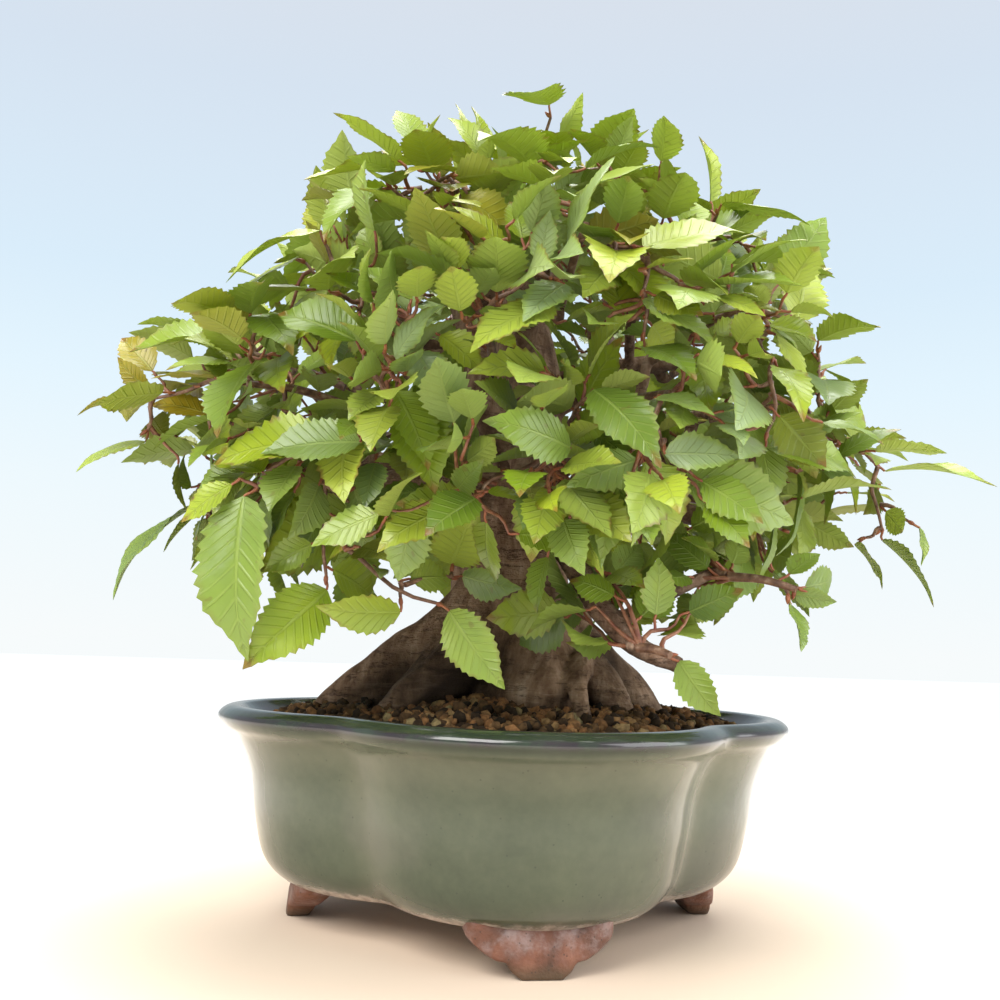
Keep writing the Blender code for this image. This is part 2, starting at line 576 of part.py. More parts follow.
class Plan:
    """The wood's segments and the leaves placed so far, with the tests that keep them apart."""

    def __init__(self):
        self.starts = np.zeros((0, 3))
        self.ends = np.zeros((0, 3))
        self.radii = np.zeros(0)
        self.owners = np.zeros(0, int)
        self.sprays = []
        self.leaves = []
        self.trees = []
        self.middles = np.zeros((0, 3))

    def add_wood(self, points, radii, owner):
        points = np.asarray(points, float)
        self.starts = np.concatenate([self.starts, points[:-1]])
        self.ends = np.concatenate([self.ends, points[1:]])
        self.radii = np.concatenate([self.radii, np.maximum(radii[:-1], radii[1:])])
        self.owners = np.concatenate([self.owners, np.full(len(points) - 1, owner)])

    def add_spray(self, base, end):
        """A main twig from its base on a branch out towards the canopy's surface, a little bent."""
        bend = (base + end) / 2 + np.array([0, 0, 0.05 * np.linalg.norm(end - base)])
        points = np.array([base, bend, end])
        self.sprays.append({"points": points, "leaves": []})
        self.add_wood(points, np.array([TWIG_RADIUS] * 3), len(self.sprays) - 1)

    def wood_clear(self, points, radius, others):
        """Whether a line of that radius stays clear of the wood that a mask picks out."""
        shares = np.linspace(0, 1, 24)[:, None]
        line = np.concatenate([start + (end - start) * shares for start, end in zip(points[:-1], points[1:])])
        gaps = segment_distance(line, self.starts[others], self.ends[others]) - self.radii[others]
        return bool((gaps > radius + CLEARANCE).all())

    def nearest_twig(self, root):
        """The spray whose wood is nearest to the root, and where on that wood its twiglet starts."""
        twigs = np.flatnonzero(self.owners >= 0)
        gaps = segment_distance(root[None], self.starts[twigs], self.ends[twigs])[0]
        nearest = twigs[int(np.argmin(gaps))]
        start, along = self.starts[nearest], self.ends[nearest] - self.starts[nearest]
        length = np.linalg.norm(along)
        share = (root - start).dot(along) / length**2 - 0.6 * gaps.min() / length
        owner = self.owners[nearest]
        spread = 0.02 * (len(self.sprays[owner]["leaves"]) % 8)
        return owner, start + along * np.clip(share, 0.16 + spread, 0.94 - spread)

    def twiglet_fits(self, start, root, spray):
        length = np.linalg.norm(root - start)
        if length > LONGEST_TWIGLET:
            return False
        line = start + (root - start) * np.linspace(0, 1, max(3, int(length / 0.1)))[:, None]
        others = self.owners != spray
        gaps = segment_distance(line, self.starts[others], self.ends[others])
        if (gaps < self.radii[others] + TWIGLET_RADIUS + CLEARANCE).any():
            return False
        near = np.flatnonzero(np.linalg.norm(self.middles - (start + root) / 2, axis=1) < length / 2 + 2.4)
        for index in near:
            for point in line[::2]:
                gap = self.trees[index].find_nearest(point.tolist(), TWIGLET_RADIUS + CLEARANCE)
                if gap[0] is not None:
                    return False
        return True

    def leaf_fits(self, leaf, spray):
        verts, _ = leaf.solid()
        across = np.hypot(verts[:, 0], verts[:, 1])
        floor = np.where(across > 6.0, LOWEST_LEAF_OVER_RIM, LOWEST_LEAF)
        if (verts[:, 2] < floor).any():
            return False
        half = len(verts) // 2
        top = verts[:half]
        hub = top[-1]
        samples = np.concatenate([top, (top + np.roll(top, -1, axis=0)) / 2, top[:-1] * 0.5 + hub * 0.5])
        gaps = segment_distance(samples, self.starts, self.ends) - self.radii[None]
        own = (self.owners == spray)[None] & (np.linalg.norm(samples - leaf.root, axis=1) < 0.45)[:, None]
        if ((gaps < CLEARANCE + LEAF_THICK / 2) & ~own).any():
            return False
        tree = leaf.tree(0.16, 1.06)
        for start, end, radius in zip(self.starts, self.ends, self.radii):
            length = np.linalg.norm(end - start)
            if np.linalg.norm((start + end) / 2 - hub) > length / 2 + 2.6:
                continue
            for point in start + (end - start) * np.linspace(0, 1, max(3, int(length / 0.12)))[:, None]:
                near_root = np.linalg.norm(point - leaf.root) < 0.45
                if not near_root and tree.find_nearest(point.tolist(), radius + CLEARANCE)[0] is not None:
                    return False
        near = np.flatnonzero(np.linalg.norm(self.middles - hub, axis=1) < 4.0)
        return not any(self.trees[index].overlap(tree) for index in near)

    def place(self, leaf):
        spray, start = self.nearest_twig(leaf.root)
        if unit(leaf.root - start).dot(leaf.ahead) < -0.1 or not self.twiglet_fits(start, leaf.root, spray):
            return False
        if not self.leaf_fits(leaf, spray):
            return False
        self.sprays[spray]["leaves"].append((start, leaf))
        self.add_wood([start, leaf.root], np.array([TWIGLET_RADIUS] * 2), spray)
        self.leaves.append(leaf)
        self.trees.append(leaf.tree(0.1, 1.03))
        self.middles = np.concatenate([self.middles, leaf.point(0.4, 0)[None]])
        return True


def place_sprays(plan):
    """Every main twig: spread evenly over the dome, and turned a little where wood is in the way."""
    for k in range(SPRAYS_BY_RULE):
        sine = LOWEST_SINE + (1 - LOWEST_SINE) * (k + 0.5) / SPRAYS_BY_RULE
        for turn in TURNS_TRIED:
            azimuth = k * GOLDEN_ANGLE + turn
            base = dome_point(azimuth, sine, SPRAY_BASE_LEVEL)
            end = dome_point(azimuth, sine, SPRAY_END_LEVEL)
            if plan.wood_clear([base, end], TWIG_RADIUS, plan.owners >= -1):
                plan.add_spray(base, end)
                break
    for start, end in EXTRA_SHOOTS:
        plan.add_spray(np.array(start), np.array(end))


def limb_knots():
    """Places along the limbs, four to a stretch, each with the radius there."""
    places = []
    for limb in LIMBS:
        knots = np.array(limb)
        for start, end in zip(knots[:-1], knots[1:]):
            places += [start + (end - start) * share for share in (0.0, 0.25, 0.5, 0.75)]
        places.append(knots[-1])
    return places


def branch_to(plan, number):
    """A branch to a spray from the nearest place on a limb that has a free way to it."""
    twig = plan.sprays[number]["points"]
    ahead = unit(twig[-1] - twig[0])
    base = twig[0] - ahead * GAP
    ranked = []
    for knot in limb_knots():
        away = base - knot[:3]
        cost = np.linalg.norm(away) - 0.6 * unit(away).dot(ahead) + 0.4 * max(-away[2], 0)
        ranked.append((cost, knot))
    ranked.sort(key=lambda pair: pair[0])
    others = (plan.owners >= 0) & (plan.owners != number)
    for _, knot in ranked:
        length = np.linalg.norm(base - knot[:3])
        points = np.array([knot[:3], base - ahead * min(0.4, length * 0.4), base])
        radii = [min(0.2, knot[3] * 0.8), TWIG_RADIUS * 1.35, TWIG_RADIUS * 1.2]
        if plan.wood_clear(points, max(radii), others):
            return points, radii
    raise ValueError(f"no free way to spray {number}")


def planned():
    """The whole canopy: the limbs' branches, the sprays and every leaf, by seeded rules."""
    draw = random.Random(SEED)
    plan = Plan()
    for spine in [TRUNK] + ROOTS + LIMBS:
        knots = np.array(spine)
        plan.add_wood(knots[:, :3], knots[:, 3], -1)
    place_sprays(plan)
    branches = [branch_to(plan, number) for number in range(len(plan.sprays))]
    for points, radii in branches:
        plan.add_wood(points, np.array(radii), -1)
    for x, z, tip_x, tip_z in SHOWN_LEAVES:
        place_shown(plan, draw, x, z, tip_x, tip_z)
    for k in range(LEAVES_BY_RULE):
        place_by_rule(plan, draw, k)
    return plan, branches


def scatter(draw, spread):
    return np.array([draw.gauss(0, spread) for _ in range(3)])


def place_shown(plan, draw, x, z, tip_x, tip_z):
    """A leaf seen from the front: its root and tip lie on their lines of sight, near the canopy's surface."""
    for attempt in range(TRIES_PER_LEAF):
        loose = 0.06 * attempt
        root = sight_point(x, z, 0.93 - 0.01 * attempt) + scatter(draw, loose)
        nearer = sight_point(tip_x, tip_z, 1.0 + 0.01 * attempt)[1] - root[1]
        depth = root[1] + np.clip(nearer, -LEAF_DEPTH, LEAF_DEPTH)
        tip = at_depth(np.array([tip_x, 0, tip_z]), depth) + scatter(draw, loose)
        facing = dome_normal((root + tip) / 2) * 1.2 + np.array([draw.gauss(0, 0.25), -0.25, 0.45])
        width, fold, arch = draw.uniform(0.52, 0.64), draw.uniform(2, 18), draw.uniform(0.02, 0.09)
        if plan.place(Leaf(root, tip, facing, width, math.radians(fold), arch)):
            return


def place_by_rule(plan, draw, k):
    """One of the leaves spread evenly over the whole dome, hanging down and out."""
    sine = LOWEST_SINE + (1 - LOWEST_SINE) * (k + 0.5) / LEAVES_BY_RULE
    for attempt in range(TRIES_PER_LEAF):
        azimuth = k * GOLDEN_ANGLE * 1.003 + draw.gauss(0, 0.05 + 0.01 * attempt)
        height = min(0.985, max(LOWEST_SINE, sine + draw.gauss(0, 0.04)))
        root = dome_point(azimuth, height, draw.uniform(0.8, 0.93))
        out = dome_normal(root)
        down = unit(np.array([0, 0, -1.0]) - out * -out[2])
        side = np.cross(out, down)
        turn = draw.gauss(0, 0.75)
        ahead = down * math.cos(turn) + side * math.sin(turn) + out * draw.uniform(0.1, 0.65)
        length = draw.uniform(2.1, 3.3) * (1 - 0.02 * attempt)
        facing = out + np.array([draw.gauss(0, 0.3), draw.gauss(0, 0.3), draw.uniform(0.2, 0.9)])
        width, fold, arch = draw.uniform(0.54, 0.66), draw.uniform(0, 20), draw.uniform(0.02, 0.1)
        tip = root + unit(ahead) * length
        if plan.place(Leaf(root, tip, facing, width, math.radians(fold), arch)):
            return


def bark_rough(mesh):
    """Knobs and hollows on the wood that stands clear of the soil."""
    where = points_of(mesh)
    high = np.clip((where[:, 2] / CM - 6.6) / 1.5, 0, 1)
    x, y, z = where.T / CM
    bump = np.sin(x * 2.9 + z * 1.7) * np.sin(y * 3.1 - z * 2.3)
    knots = np.array(TRUNK)
    for axis in (0, 1):
        spine = np.interp(z, knots[:, 2], knots[:, axis]) * CM
        where[:, axis] += (where[:, axis] - spine) * BARK_ROUGHNESS * bump * high
    move_points(mesh, where)


def trunk(branches, collection, bark):
    """Trunk, flared roots, limbs and the branch to each spray, grown together."""
    knots = np.array(TRUNK)
    body = tube("trunk", knots[:, :3], knots[:, 3], 12, collection)
    bark_rough(body.data)
    others = [root_tube(f"root_{i}", root, 0, collection) for i, root in enumerate(ROOTS)]
    body.data.transform(Matrix.Rotation(TREE_TURN, 4, "Z"))
    for i, limb in enumerate(LIMBS):
        knots = np.array(limb)
        piece = tube(f"limb_{i}", knots[:, :3], knots[:, 3], 6, collection)
        piece.data.transform(Matrix.Rotation(TREE_TURN, 4, "Z"))
        others.append(piece)
    for i, (points, radii) in enumerate(branches):
        piece = tube(f"branch_{i}", points, radii, 4, collection)
        piece.data.transform(Matrix.Rotation(TREE_TURN, 4, "Z"))
        others.append(piece)
    boolean(body, others, "UNION")
    body.data.materials.append(bark)
    return body


def leaf_piece(name, start, leaf, collection):
    points, faces = leaf.with_stalk(start)
    mesh = bpy.data.meshes.new(name)
    mesh.from_pydata((points * CM).tolist(), [], faces)
    return add(name, welded(mesh), collection)


def spray(number, plan, collection, green):
    """One main twig with its twiglets and leaves, grown together."""
    made = plan.sprays[number]
    name = f"spray_{number + 1:02d}"
    radii = [TWIG_RADIUS, TWIG_RADIUS * 0.85, TWIG_RADIUS * 0.7]
    body = tube(name, made["points"], radii, 4, collection)
    others = []
    for i, (start, leaf) in enumerate(made["leaves"]):
        others.append(leaf_piece(f"{name}_leaf_{i}", start, leaf, collection))
    if others:
        boolean(body, others, "UNION", "MANIFOLD")
    body.data.transform(Matrix.Rotation(TREE_TURN, 4, "Z"))
    body.data.materials.append(green)
    return body


def stand_on_origin(pieces):
    """Parents everything to one empty, shifted so that the bounding box stands centred on the origin."""
    holder = bpy.data.objects.new("bonsai", None)
    bpy.context.scene.collection.objects.link(holder)
    points = np.concatenate([points_of(piece.data) for piece in pieces])
    low, high = points.min(axis=0), points.max(axis=0)
    holder.location = (-(low[0] + high[0]) / 2, -(low[1] + high[1]) / 2, -low[2])
    for piece in pieces:
        piece.parent = holder


def main():
    for old in list(bpy.data.objects):
        bpy.data.objects.remove(old)
    parts = bpy.data.collections.new("korean_hornbeam_bonsai")
    bpy.context.scene.collection.children.link(parts)
    plan, branches = planned()
    bark = material("bark", (0.2, 0.13, 0.085), 0.85)
    green = material("leaf", (0.2, 0.32, 0.06), 0.5)
    pieces = [
        pot(parts, material("celadon_glaze", (0.16, 0.22, 0.15), 0.15)),
        screen(parts, material("black_net", (0.02, 0.02, 0.02), 0.5)),
        screen_wire(parts, material("aluminium_wire", (0.3, 0.2, 0.12), 0.4)),
        soil(parts, material("baked_clay_soil", (0.12, 0.06, 0.03), 0.95)),
        trunk(branches, parts, bark),
    ]
    pieces += [spray(number, plan, parts, green) for number in range(len(plan.sprays))]
    for piece in pieces:
        piece.data.shade_smooth()
        piece.data.set_sharp_from_angle(angle=math.radians(35))
    stand_on_origin(pieces)
    print(f"{len(plan.leaves)} leaves on {len(plan.sprays)} sprays")


main()
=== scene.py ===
"""Korean hornbeam bonsai: the finish of the tree, its soil and its glazed pot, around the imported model.

The tree is planned in centimetres round the pot's axis, seen from its front: x to the right, y away
and z up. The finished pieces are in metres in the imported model's frame.
"""

import functools
import itertools
import math
import random

import bmesh
import bpy
import numpy as np
from bpy.props import FloatProperty, FloatVectorProperty, PointerProperty
from mathutils import Matrix, Vector
from mathutils.bvhtree import BVHTree


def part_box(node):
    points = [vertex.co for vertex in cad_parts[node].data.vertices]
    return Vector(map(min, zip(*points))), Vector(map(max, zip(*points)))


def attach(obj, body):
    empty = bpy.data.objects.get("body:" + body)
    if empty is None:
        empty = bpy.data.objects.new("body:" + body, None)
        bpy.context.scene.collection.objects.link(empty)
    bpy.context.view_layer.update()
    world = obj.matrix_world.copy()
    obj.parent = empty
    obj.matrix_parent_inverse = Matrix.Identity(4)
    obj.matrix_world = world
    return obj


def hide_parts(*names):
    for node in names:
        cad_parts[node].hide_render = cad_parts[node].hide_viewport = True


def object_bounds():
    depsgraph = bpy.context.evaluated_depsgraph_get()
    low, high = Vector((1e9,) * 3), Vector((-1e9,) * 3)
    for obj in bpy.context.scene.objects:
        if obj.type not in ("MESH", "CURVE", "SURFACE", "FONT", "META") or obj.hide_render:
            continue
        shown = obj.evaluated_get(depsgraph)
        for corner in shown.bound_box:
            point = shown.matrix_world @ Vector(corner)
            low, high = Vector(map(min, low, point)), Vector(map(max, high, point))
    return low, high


bl_info = {
    "name": "Korean Hornbeam Bonsai",
    "version": (1, 0, 0),
    "blender": (4, 5, 0),
    "location": "View3D > Sidebar > Bonsai",
    "description": "Finishes a small hornbeam tree, its soil and its glazed four-lobed pot",
    "category": "Object",
}

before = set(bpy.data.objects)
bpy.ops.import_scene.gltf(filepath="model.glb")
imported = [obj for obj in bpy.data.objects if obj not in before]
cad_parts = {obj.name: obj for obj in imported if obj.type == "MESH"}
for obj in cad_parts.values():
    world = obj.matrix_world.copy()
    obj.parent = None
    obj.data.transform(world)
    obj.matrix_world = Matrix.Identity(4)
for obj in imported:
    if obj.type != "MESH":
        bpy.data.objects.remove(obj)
CAD_BOX = [list(corner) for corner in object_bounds()]
POT_BOX = np.array(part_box("pot"))

CM = 0.01
GAP = 0.03  # between pieces that touch on the real thing

# Pot
RIM_RADIUS = 7.8
RIM_HEIGHT = 5.62
BASE_RADIUS = 5.92
BASE_HEIGHT = 1.12
FLOOR_HEIGHT = 1.85
LIP_INNER_RADIUS = 7.1
LOBE_SHARE_AT_RIM = 0.625  # a lobe's own radius as a share of the pot's
LOBE_SHARE_AT_BASE = 0.55
CREASE_SOFTNESS = 0.07
DRAIN_RADIUS = 0.95
FOOT_BURY = 0.35
FOOT_DEPTH = 1.1
FOOT_TAPER = 0.45  # share of the depth that is lost at the sole
FOOT_LEAN = 0.35
FOOT_BEND_RADIUS = 5.5
FRONT_FOOT_RADIUS = 5.4
SIDE_FOOT_RADIUS = 5.1
SOLE_HEIGHT = 0.25
# Half of a foot's outline below the base: half width and height, down to the sole
FOOT_SCROLL = [(1.68, 1.2), (1.6, 1.02), (1.3, 0.78), (1.04, 0.64), (0.8, 0.58), (0.66, 0.4),
               (0.46, SOLE_HEIGHT)]

POT_INSIDE = [(0, FLOOR_HEIGHT), (5.3, FLOOR_HEIGHT), (6.2, 3.9), (6.6, 4.95)]  # radius and height

# Soil
SOIL_EDGE_HEIGHT = 5.22
SOIL_MOUND = 0.75
GRAIN_HEIGHT = 0.07

# Tree
TREE_TURN = math.radians(-9.0)
EYE = np.array([0.0, -29.8, 7.4])  # where the front view is taken from
DOME_CENTRE = np.array([0.1, 0.0, 13.2])
DOME_HALF = np.array([9.7, 8.7, 8.5])
DOME_DROP = 5.4  # from the dome's middle down to the lowest skirt
SKIRT_HEIGHT = 9.6  # leaves that hang below it, clear of the dome, are in front of the tree
SKIRT_DEPTHS = ([7.5, 9.0], [-6.2, -5.2])  # heights, and the depth at each
LEAF_DEPTH = 1.0  # a leaf's tip is at most that much nearer or further than its root
SPRAYS_BY_RULE = 32
SPRAY_BASE_LEVEL = 0.56
SPRAY_END_LEVEL = 0.84
LOWEST_SINE = -0.5
TURNS_TRIED = (0, 0.12, -0.12, 0.24, -0.24, 0.36, -0.36)
GOLDEN_ANGLE = math.pi * (3 - math.sqrt(5))
TWIG_RADIUS = 0.13
TWIGLET_RADIUS = 0.07
LONGEST_TWIGLET = 3.6
LEAF_THICK = 0.068
STALK_WIDTH = 0.11
SMALL_LEAF = 2.6  # shorter blades have fewer teeth
LEAVES_BY_RULE = 132
TRIES_PER_LEAF = 16
CLEARANCE = 0.06
LOWEST_LEAF = 6.3
LOWEST_LEAF_OVER_RIM = 5.95
SEED = 11

# Spines of the wood: points x, y, z and the radius there
TRUNK = [(0.4, 0.3, 4.9, 1.9), (0.4, 0.2, 6.0, 2.0), (0.2, 0.3, 7.6, 1.85), (0.0, 0.3, 9.4, 1.6),
         (-0.1, 0.2, 11.2, 1.4), (0.1, 0.1, 13.2, 1.2), (0.2, 0.2, 15.2, 1.0), (0.0, 0.3, 17.2, 0.7),
         (-0.2, 0.3, 18.8, 0.42)]
ROOTS = [
    [(-0.2, 0.2, 8.6, 1.4), (-1.6, 0.1, 7.4, 1.2), (-3.1, 0.0, 6.6, 0.9), (-4.5, -0.2, 5.75, 0.62),
     (-5.4, -0.3, 4.9, 0.4)],
    [(0.6, -0.5, 8.7, 1.1), (0.7, -1.1, 7.1, 1.1), (0.8, -1.5, 5.9, 1.25), (0.8, -1.7, 4.9, 0.9)],
    [(1.0, 0.2, 8.2, 1.1), (2.2, 0.0, 6.9, 0.9), (3.4, -0.1, 6.0, 0.6), (4.3, -0.2, 4.9, 0.4)],
    [(0.3, 1.1, 7.8, 1.1), (0.7, 2.4, 6.3, 0.7), (1.0, 3.5, 4.9, 0.4)],
    [(-0.7, 0.9, 7.9, 1.0), (-2.0, 2.2, 6.3, 0.7), (-3.0, 3.2, 4.9, 0.4)],
    [(-0.7, -0.5, 7.7, 1.0), (-1.9, -1.5, 6.5, 0.75), (-2.9, -2.4, 5.7, 0.5), (-3.6, -3.0, 4.9, 0.35)],
    [(1.5, -0.7, 7.4, 0.6), (2.5, -1.6, 6.3, 0.5), (3.3, -2.4, 4.9, 0.32)],
    [(2.1, -0.9, 7.35, 0.3), (1.9, -2.1, 6.9, 0.26), (1.8, -2.9, 6.1, 0.25), (2.2, -3.4, 4.9, 0.22)],
]
LIMBS = [
    [(0.2, -0.7, 12.9, 0.55), (0.2, -2.2, 12.3, 0.48), (0.6, -3.2, 11.0, 0.42), (1.4, -4.2, 9.6, 0.36),
     (2.0, -4.9, 8.5, 0.3), (2.9, -5.5, 7.5, 0.26), (3.9, -5.9, 7.05, 0.2)],
    [(-0.1, -0.8, 12.6, 0.5), (-0.8, -2.2, 13.6, 0.42), (-1.1, -2.3, 15.0, 0.34), (-1.7, -2.1, 16.6, 0.26)],
    [(-0.5, -0.7, 11.6, 0.5), (-2.2, -2.1, 11.7, 0.4), (-4.0, -2.6, 11.3, 0.32), (-5.4, -2.9, 10.8, 0.24)],
    [(-0.8, 0.2, 12.0, 0.6), (-2.8, 0.4, 12.6, 0.44), (-4.4, 0.2, 12.3, 0.32), (-5.8, 0.0, 11.9, 0.22)],
    [(-0.6, 0.1, 14.3, 0.5), (-2.3, -0.4, 15.7, 0.36), (-3.9, -0.7, 16.3, 0.28), (-5.2, -0.9, 16.4, 0.2)],
    [(1.0, 0.1, 11.4, 0.55), (2.8, -0.2, 11.6, 0.42), (4.6, -0.4, 11.3, 0.32), (6.2, -0.7, 10.8, 0.22)],
    [(0.8, 0.2, 14.2, 0.5), (2.5, 0.5, 15.4, 0.36), (4.1, 0.5, 15.8, 0.27), (5.3, 0.4, 15.8, 0.2)],
    [(0.8, -0.6, 12.2, 0.45), (2.3, -2.3, 12.7, 0.36), (3.7, -3.3, 12.4, 0.27), (4.6, -3.9, 11.8, 0.2)],
    [(-0.3, 1.0, 12.8, 0.5), (-1.7, 2.6, 13.1, 0.38), (-2.9, 4.0, 12.8, 0.27), (-3.5, 4.9, 12.3, 0.2)],
    [(0.5, 1.0, 13.0, 0.5), (1.9, 2.6, 13.3, 0.38), (3.2, 3.9, 12.9, 0.27), (4.0, 4.8, 12.3, 0.2)],
    [(0.2, 1.0, 14.8, 0.4), (0.3, 2.4, 15.8, 0.3), (0.3, 3.8, 16.3, 0.2)],
    [(0.1, -0.6, 15.6, 0.4), (0.3, -1.9, 16.9, 0.3), (0.6, -3.1, 17.3, 0.2)],
    [(-0.1, 0.3, 17.2, 0.45), (-1.3, 0.2, 18.3, 0.3), (-2.3, 0.2, 18.8, 0.2)],
    [(0.0, 0.3, 17.4, 0.45), (1.4, 0.4, 18.4, 0.3), (2.4, 0.5, 18.7, 0.2)],
]
# Shoots that leave the dome: start and end of each
EXTRA_SHOOTS = [((2.9, -5.95, 7.45), (3.5, -6.7, 7.3)), ((5.2, -4.6, 9.2), (6.6, -5.4, 8.9))]

# Leaves that show from the front: root x, z and tip x, z on the upright plane through the trunk
SHOWN_LEAVES = [
    (-3.3, 21.6, -6.6, 21.0), (-4.3, 20.8, -6.0, 19.3), (-8.7, 16.1, -11.4, 15.5),
    (-7.6, 16.8, -6.6, 15.7), (-3.6, 21.7, -3.2, 23.0), (0.1, 22.5, -2.7, 22.9),
    (0.3, 22.2, -0.1, 23.5), (2.7, 21.8, 3.2, 23.4), (-2.1, 21.4, -3.6, 21.3),
    (0.6, 18.6, 0.8, 20.3), (1.3, 18.0, 0.1, 16.8), (-3.6, 15.6, -2.3, 17.3),
    (1.2, 17.0, -1.1, 16.3), (-3.0, 15.7, -2.0, 14.4), (5.9, 20.6, 8.6, 20.2),
    (3.6, 19.2, 6.7, 19.9), (5.5, 17.6, 7.3, 18.0), (6.3, 18.8, 8.7, 18.4),
    (8.1, 17.1, 8.4, 19.1), (3.6, 17.6, 5.9, 16.2), (3.9, 16.4, 5.6, 15.4),
    (3.9, 14.5, 5.9, 14.1), (6.9, 15.6, 8.0, 13.9), (3.0, 14.8, 4.2, 16.1),
    (-11.3, 14.0, -12.8, 13.7), (-10.7, 12.9, -12.7, 12.0), (-10.0, 13.4, -12.3, 10.9),
    (-8.9, 13.8, -10.8, 13.9), (-9.3, 11.6, -9.6, 12.6), (-9.4, 10.9, -12.0, 8.4),
    (-8.0, 10.3, -9.6, 9.2), (-7.3, 9.5, -7.3, 7.6), (-5.3, 8.8, -7.5, 6.6),
    (-4.8, 10.8, -7.1, 9.2), (-6.4, 10.2, -8.2, 11.3), (-4.5, 12.8, -7.4, 12.8),
    (-1.7, 8.3, -0.2, 6.2), (-2.6, 8.9, -5.1, 7.6), (-1.6, 10.1, -2.8, 8.9),
    (-1.4, 9.3, 0.3, 9.0), (-2.0, 11.4, -3.7, 10.7), (1.6, 13.1, -0.9, 13.9),
    (3.5, 12.8, 1.5, 12.0), (3.3, 12.1, 2.1, 10.2), (3.1, 7.5, 2.3, 7.9),
    (-1.6, 11.8, -0.9, 12.7), (-1.4, 9.5, -1.0, 11.4), (4.1, 10.7, 5.8, 7.5),
    (6.3, 10.5, 6.4, 8.0), (4.9, 12.4, 8.1, 11.1), (4.3, 13.0, 6.5, 13.0),
    (10.6, 12.7, 13.8, 12.3), (10.5, 10.7, 12.0, 8.9), (9.7, 10.6, 10.6, 9.5),
    (9.8, 11.6, 11.0, 10.9), (7.9, 8.8, 8.2, 7.5), (8.3, 9.3, 9.1, 9.6),
    (8.0, 9.1, 9.2, 8.9), (4.8, 7.0, 6.0, 5.6), (7.2, 13.3, 9.9, 12.6),
    (7.1, 13.2, 5.2, 14.5),
]


def lobed_radius(angle, radius):
    """Four lobes, each a circle set off from the axis. A crease is softened into a rounded valley."""
    share = np.interp(radius, [BASE_RADIUS, RIM_RADIUS], [LOBE_SHARE_AT_BASE, LOBE_SHARE_AT_RIM])
    from_lobe = np.abs((angle + math.pi / 4) % (math.pi / 2) - math.pi / 4)
    to_crease = np.sqrt((math.pi / 4 - from_lobe) ** 2 + CREASE_SOFTNESS**2)
    turn = math.pi / 4 - to_crease
    lobe, offset = share * radius, (1 - share) * radius
    return offset * np.cos(turn) + np.sqrt(lobe**2 - (offset * np.sin(turn)) ** 2)


def unit(vector):
    return vector / np.linalg.norm(vector)


def dome_level(points):
    """How far out points lie: 1 on the canopy's surface, 0 at its middle."""
    away = np.asarray(points) - DOME_CENTRE
    half_height = np.where(away[..., 2] > 0, DOME_HALF[2], DOME_DROP)
    flat2 = (away[..., 0] / DOME_HALF[0]) ** 2 + (away[..., 1] / DOME_HALF[1]) ** 2
    return np.sqrt(flat2 + (away[..., 2] / half_height) ** 2)


def dome_point(azimuth, sine, level):
    """A point at a level of the dome, by its azimuth and the sine of its elevation."""
    flat = math.sqrt(1 - sine * sine)
    half_height = DOME_HALF[2] if sine > 0 else DOME_DROP
    out = np.array([flat * math.cos(azimuth), flat * math.sin(azimuth), sine])
    return DOME_CENTRE + out * level * np.array([DOME_HALF[0], DOME_HALF[1], half_height])


def dome_normal(point):
    away = point - DOME_CENTRE
    half_height = DOME_HALF[2] if away[2] > 0 else DOME_DROP
    return unit(away / np.array([DOME_HALF[0] ** 2, DOME_HALF[1] ** 2, half_height**2]))


def sight_point(x, z, level):
    """Where the line of sight through a point of the trunk's plane meets the canopy, or passes it nearest."""
    target = np.array([x, 0.0, z])
    steps = np.linspace(0.62, 1.05, 216)[:, None]
    line = EYE + (target - EYE) * steps
    levels = dome_level(line)
    inside = np.flatnonzero(levels <= level)
    if len(inside):
        return line[inside[0]]
    if z < SKIRT_HEIGHT:
        return at_depth(target, np.interp(z, *SKIRT_DEPTHS))
    return line[int(np.argmin(levels))]


def at_depth(target, depth):
    """Where the line of sight through a point passes a plane of equal depth."""
    return EYE + (target - EYE) * (depth - EYE[1]) / (target[1] - EYE[1])


def segment_distance(points, starts, ends):
    """Distance of every point to every segment."""
    along = ends - starts
    length2 = np.maximum((along**2).sum(axis=1), 1e-9)
    away = points[:, None, :] - starts[None]
    share = np.clip((away * along[None]).sum(axis=2) / length2[None], 0, 1)
    return np.linalg.norm(away - share[..., None] * along[None], axis=2)


SMALL_LEAF_STATIONS = [(0.14, 1.0), (0.42, 1.08), (0.58, 0.8)]
LARGE_LEAF_STATIONS = [(0.12, 1.0), (0.34, 1.07), (0.5, 0.82), (0.68, 1.08)]


